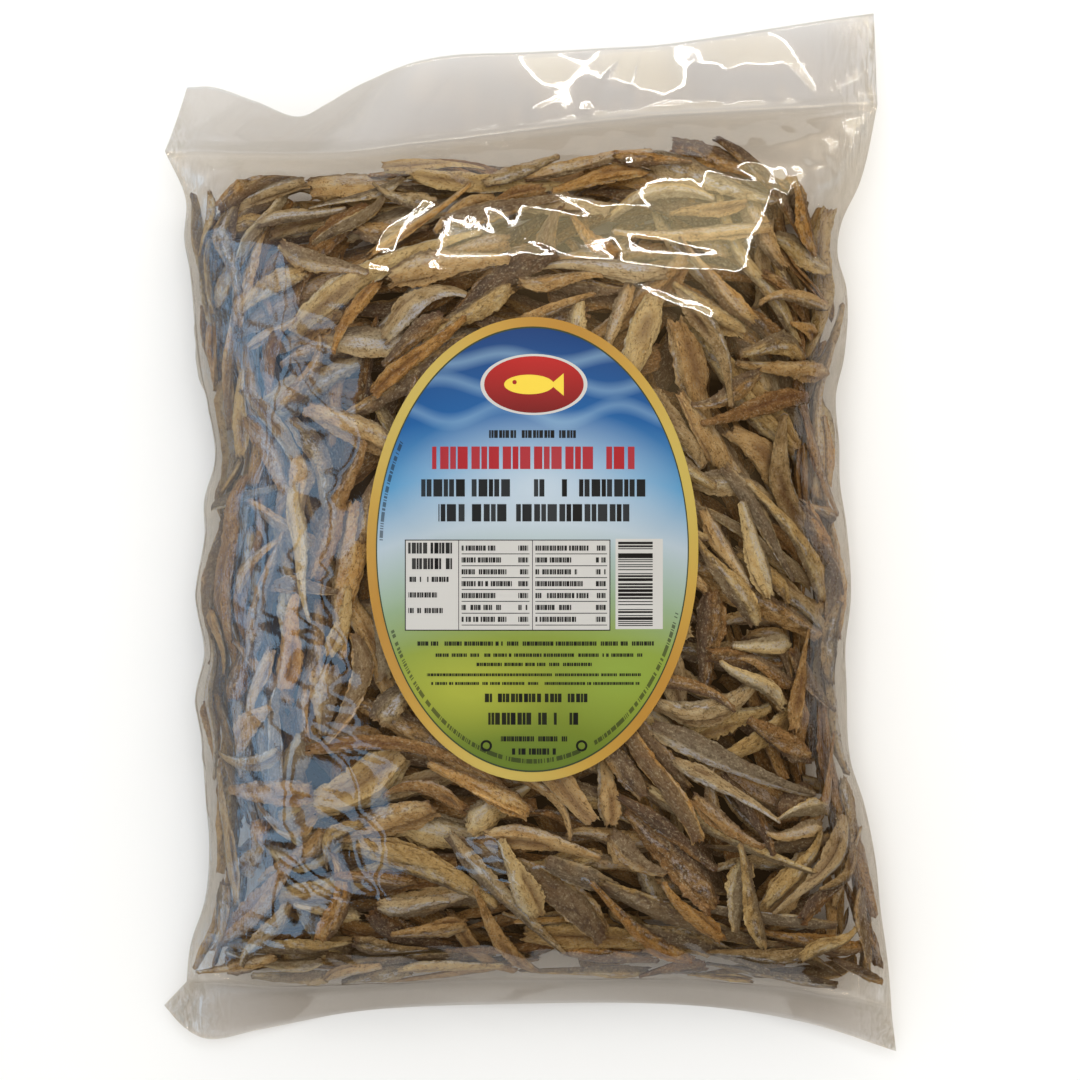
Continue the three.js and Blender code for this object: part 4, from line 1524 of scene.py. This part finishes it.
def nearest_row(drop):
    """Number and y of the row nearest to a place, for something that far below each row."""
    row = sums(tree, "MULTIPLY", sums(tree, "SUBTRACT", panel_top - drop, y), 1 / ROW_STEP)
    row = sums(tree, "MAXIMUM", sums(tree, "MINIMUM", sums(tree, "ROUND", row), LAST_ROW), 0.0)
    return row, sums(tree, "MULTIPLY_ADD", row, -ROW_STEP, panel_top - drop)


row, row_y = nearest_row(0.0)
rule_y = nearest_row(RULE_BELOW)[1]
for column, (from_x, to_x) in enumerate(COLUMNS):
    half = (to_x - from_x) / 2
    uneven = sums(tree, "MODULO", sums(tree, "MULTIPLY_ADD", row, 5.0, 3.0 * column), 4.0)
    long_half = sums(tree, "MULTIPLY_ADD", uneven, 0.08 * half, 0.5 * half)
    long_row = art.blocks((sums(tree, "ADD", long_half, from_x), row_y), (long_half, SMALL[0]), SMALL[1])
    short_row = art.blocks((to_x - 2.2, row_y), (1.7, SMALL[0]), SMALL[1])
    rule = art.bar(((from_x + to_x) / 2, rule_y), (half, 0.14), 0.02)
    inked = sums(tree, "MAXIMUM", sums(tree, "MAXIMUM", long_row, short_row), rule)
    art.paint(inked, INK)
art.paint(art.bar((-25.5, panel_y), (0.12, panel_h), 0.02), INK)
art.paint(art.bar((0.0, panel_y), (0.12, panel_h), 0.02), INK)
print("nodes with the panel:", len(tree.nodes))

# %% [markdown]
# Beside the panel stands a striped box, and low on the label are two small rings. A row of dashes
# follows the rim, and the gold rim goes over all.

# %% Striped box, rings and rim
# centre and half size of the box and of the stripes in it
STRIPED_BOX = ((36.9, -12.0), (8.2, 15.6))
STRIPES = ((35.6, -12.0), (6.0, 14.6))
GOLD_WIDE = 3.3
art.paint(art.bar(*STRIPED_BOX, 0.1), WHITE)
count = sums(tree, "FLOOR", sums(tree, "MULTIPLY", y, 2.9))
chance = add(tree, "TexWhiteNoise", {"W": count}, noise_dimensions="1D").outputs["Value"]
stripes = art.product(sums(tree, "GREATER_THAN", chance, 0.46), art.bar(*STRIPES, 0.02))
art.paint(stripes, INK)
for ring_x in (-16.0, 17.0):
    ring = art.oval((ring_x, -68.0), (2.0, 2.0))
    ring = art.product(sums(tree, "LESS_THAN", ring, 1.0), sums(tree, "GREATER_THAN", ring, 0.6))
    art.paint(ring, INK)
rim = art.oval((0, 0), LABEL_HALF)
up = sums(tree, "DIVIDE", y, LABEL_HALF[1])
out = sums(tree, "DIVIDE", x, LABEL_HALF[0])
turn = sums(tree, "ARCTAN2", up, out)
step = sums(tree, "FLOOR", sums(tree, "MULTIPLY", turn, 170.0))
dash = add(tree, "TexWhiteNoise", {"W": step}, noise_dimensions="1D").outputs["Value"]
dash = sums(tree, "GREATER_THAN", dash, 0.3)
ring = art.product(sums(tree, "GREATER_THAN", rim, 0.902), sums(tree, "LESS_THAN", rim, 0.922))
# where a run of dashes begins and ends, in radians from the right
for turn_from, turn_to in ((-2.75, -1.25), (-1.15, -0.3), (2.6, 3.1)):
    part = art.product(sums(tree, "GREATER_THAN", turn, turn_from), sums(tree, "LESS_THAN", turn, turn_to))
    art.paint(art.product(art.product(ring, dash), art.product(part, 0.7)), INK)
inner = art.oval((0, 0), (LABEL_HALF[0] - GOLD_WIDE, LABEL_HALF[1] - GOLD_WIDE))
art.paint(sums(tree, "GREATER_THAN", inner, 0.992), colour(50, 62, 40))
shimmer = sums(tree, "SINE", sums(tree, "MULTIPLY_ADD", turn, 3.0, 0.6))
gold = ramp(tree, spread(tree, shimmer, -1.0, 1.0), [
    (0.0, (168, 122, 44)), (0.5, (178, 142, 58)), (1.0, (182, 160, 78)),
])
art.paint(sums(tree, "GREATER_THAN", inner, 1.0), gold)
print("nodes with the rim:", len(tree.nodes))

# %% [markdown]
# The print lies under gloss that isn't quite even, so the roughness varies slowly over it.

# %% Label material
mottle = add(tree, "TexNoise", {"Vector": art.place, "Scale": 0.05, "Detail": 2.0}).outputs["Fac"]
rough = spread(tree, mottle, 0.3, 0.7, 0.34, 0.44)
fill_sockets(tree, art.surface, {"Base Color": art.colours, "Roughness": rough})
art.surface.inputs["Specular IOR Level"].default_value = 0.3
put_on(label, art.material)
print("nodes for the label:", len(tree.nodes))

# %% [markdown]
# Every piece rides on the one body and says which solid it stands for.

# %% Attach the pieces and hide the solids
in_the_bag = [*fish_pieces.values(), film, middle]
for piece in in_the_bag:
    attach(piece, "root")
    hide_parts("bag")
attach(label, "root")
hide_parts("label")
print("pieces that stand for the bag:", len(in_the_bag))

# %% [markdown]
# The floor is one plain pale square. It is far wider than the bag, so its edge shows only from low down.

# %% Floor
bm = bmesh.new()
bmesh.ops.create_grid(bm, x_segments=1, y_segments=1, size=3.0)
floor_mesh = bpy.data.meshes.new("floor")
bm.to_mesh(floor_mesh)
bm.free()
floor = link_piece("floor", floor_mesh)
floor_material, tree, surface, _ = new_material("plain_floor")
surface.inputs["Base Color"].default_value = (0.92, 0.92, 0.92, 1)
surface.inputs["Roughness"].default_value = 0.9
surface.inputs["Specular IOR Level"].default_value = 0.1
put_on(floor, floor_material)
print("floor:", floor.dimensions.x, "m wide")

# %% [markdown]
# Film shows its surroundings by mirroring them, so the lamps have shapes. A ceiling panel with bright
# edges stands beyond the header and draws outlined gleams on the film, and the cool panes of a window
# on the left lay a haze over that side. The panel's face and the panes only show where something
# mirrors them. Apart from the room, one broad soft lamp overhead lights the fish, and nothing mirrors it.

# %% Lamps
AIM = Vector((0.0, 0.0, 0.04))
PANEL_AT = Vector((0.36, 1.0, 0.94))
PANEL_SIZE = (1.3, 0.66)
# radiance and colour
PANEL_FACE = (1.7, (1.0, 0.87, 0.5))
PANEL_EDGE = (48.0, (1.0, 0.98, 0.93))
EDGE_WIDE = 0.017
# slant, width and radiance of each window pane, their distance and height, and their colour
PANES = [(27, 0.1, 1.9), (37, 0.16, 2.1), (50, 0.22, 2.5), (66, 0.22, 2.9), (82, 0.22, 2.9)]
PANES_OFF = 1.3
PANES_HIGH = 2.4
PANES_COLOUR = (0.42, 0.7, 1.0)


def area_lamp(name, at, size, radiance, tint, turn=None):
    """A flat lamp whose face has that radiance, aimed at the bag unless it has a turn."""
    data = bpy.data.lights.new(name, "AREA")
    data.shape = "RECTANGLE"
    data.size = size[0]
    data.size_y = size[1]
    data.energy = radiance * math.pi * size[0] * size[1]
    data.color = tint
    lamp = bpy.data.objects.new(name, data)
    lamp.location = at
    lamp.rotation_euler = turn or (AIM - Vector(at)).to_track_quat("-Z", "Y").to_euler()
    bpy.context.scene.collection.objects.link(lamp)
    return lamp


panel = area_lamp("panel_face", PANEL_AT, PANEL_SIZE, *PANEL_FACE)
panel.visible_diffuse = False
panel_turn = panel.rotation_euler.to_matrix()
for k in range(4):
    lengthways = k % 2 == 0
    way = 1 if k < 2 else -1
    off = (0, way * PANEL_SIZE[1] / 2) if lengthways else (way * PANEL_SIZE[0] / 2, 0)
    size = (PANEL_SIZE[0], EDGE_WIDE) if lengthways else (EDGE_WIDE, PANEL_SIZE[1])
    at = PANEL_AT + panel_turn @ Vector((*off, 0.004))
    area_lamp("panel_edge_" + str(k), at, size, *PANEL_EDGE, panel.rotation_euler)
for k, (slant, pane_wide, radiance) in enumerate(PANES):
    out = math.radians(slant)
    at = AIM + PANES_OFF * Vector((-math.sin(out), -0.2, math.cos(out)))
    pane = area_lamp("window_pane_" + str(k), at, (PANES_HIGH, pane_wide), radiance, PANES_COLOUR)
    pane.visible_diffuse = False

key = area_lamp("soft_key", (-0.05, 0.12, 1.5), (1.2, 1.0), 1.75, (1.0, 0.98, 0.95))
key.visible_glossy = False
lamps = [thing.name for thing in bpy.context.scene.collection.objects if thing.type == "LIGHT"]
print("lamps:", len(lamps))

# %% [markdown]
# The rest of the light comes from the room. What lights the fish is a soft dome, brighter above. What
# the film mirrors is dimmer, with a warm glow round the panel and a cool one round the window, and the
# Light Path node tells the two apart.

# %% Room light
world = bpy.data.worlds.new("room")
bpy.context.scene.world = world
world.use_nodes = True
tree = world.node_tree
tree.nodes.clear()
path = add(tree, "LightPath").outputs
way = add(tree, "TexCoord").outputs["Generated"]


def towards(direction):
    """1 for light that comes from that direction, down to -1 from the other side."""
    return add(tree, "VectorMath", {0: way, 1: direction}, operation="DOT_PRODUCT").outputs["Value"]


side = towards((-0.22, 0.18, 0.96))
room_light = spread(tree, side, -0.35, 1.0, 0.03, 1.0)
window_glow = spread(tree, towards((-0.95, 0.2, 0.24)), 0.6, 0.95, 0.0, 0.8)
panel_glow = spread(tree, towards((0.42, 0.64, 0.64)), 0.78, 0.97, 0.0, 1.0)
dome = spread(tree, side, -1.0, 1.0, 0.03, 0.19)
seen_in_film = sums(tree, "ADD", sums(tree, "ADD", dome, panel_glow), window_glow)
in_film = blend(tree, panel_glow, (1.0, 0.56, 0.2, 1), (1.0, 0.76, 0.42, 1))
in_film = blend(tree, window_glow, in_film, (0.38, 0.66, 1.0, 1))
cool = spread(tree, towards((-1.0, 0.0, 0.0)), -0.8, 0.8)
room_colour = blend(tree, cool, (1.0, 0.91, 0.78, 1), (0.9, 0.98, 1.06, 1))
light_colour = blend(tree, path["Is Glossy Ray"], room_colour, in_film)
strength = add(tree, "Mix", {0: path["Is Glossy Ray"], 2: room_light, 3: seen_in_film}).outputs[0]
room = add(tree, "Background", {0: light_colour, 1: strength})
add(tree, "OutputWorld", {0: room.outputs[0]})
print("nodes for the room light:", len(tree.nodes))

# %% [markdown]
# The photograph looks straight at the label, so the camera looks straight down. Its lens follows from
# the width of the picture at the height of the side creases.

# %% Camera
FRAME_MM = 388.8
CAMERA_AT = (0.0036, -0.0023, 1.2)
SENSOR = 36
camera_data = bpy.data.cameras.new("camera")
camera = bpy.data.objects.new("camera", camera_data)
camera.location = CAMERA_AT
camera_data.sensor_width = SENSOR
camera_data.lens = SENSOR / (FRAME_MM * MM) * (CAMERA_AT[2] - CREASE_Z * MM)
camera_data.clip_start = 0.01
bpy.context.scene.collection.objects.link(camera)
bpy.context.scene.camera = camera
bpy.context.scene.view_settings.view_transform = "Standard"
print("lens:", round(camera_data.lens, 1), "mm")
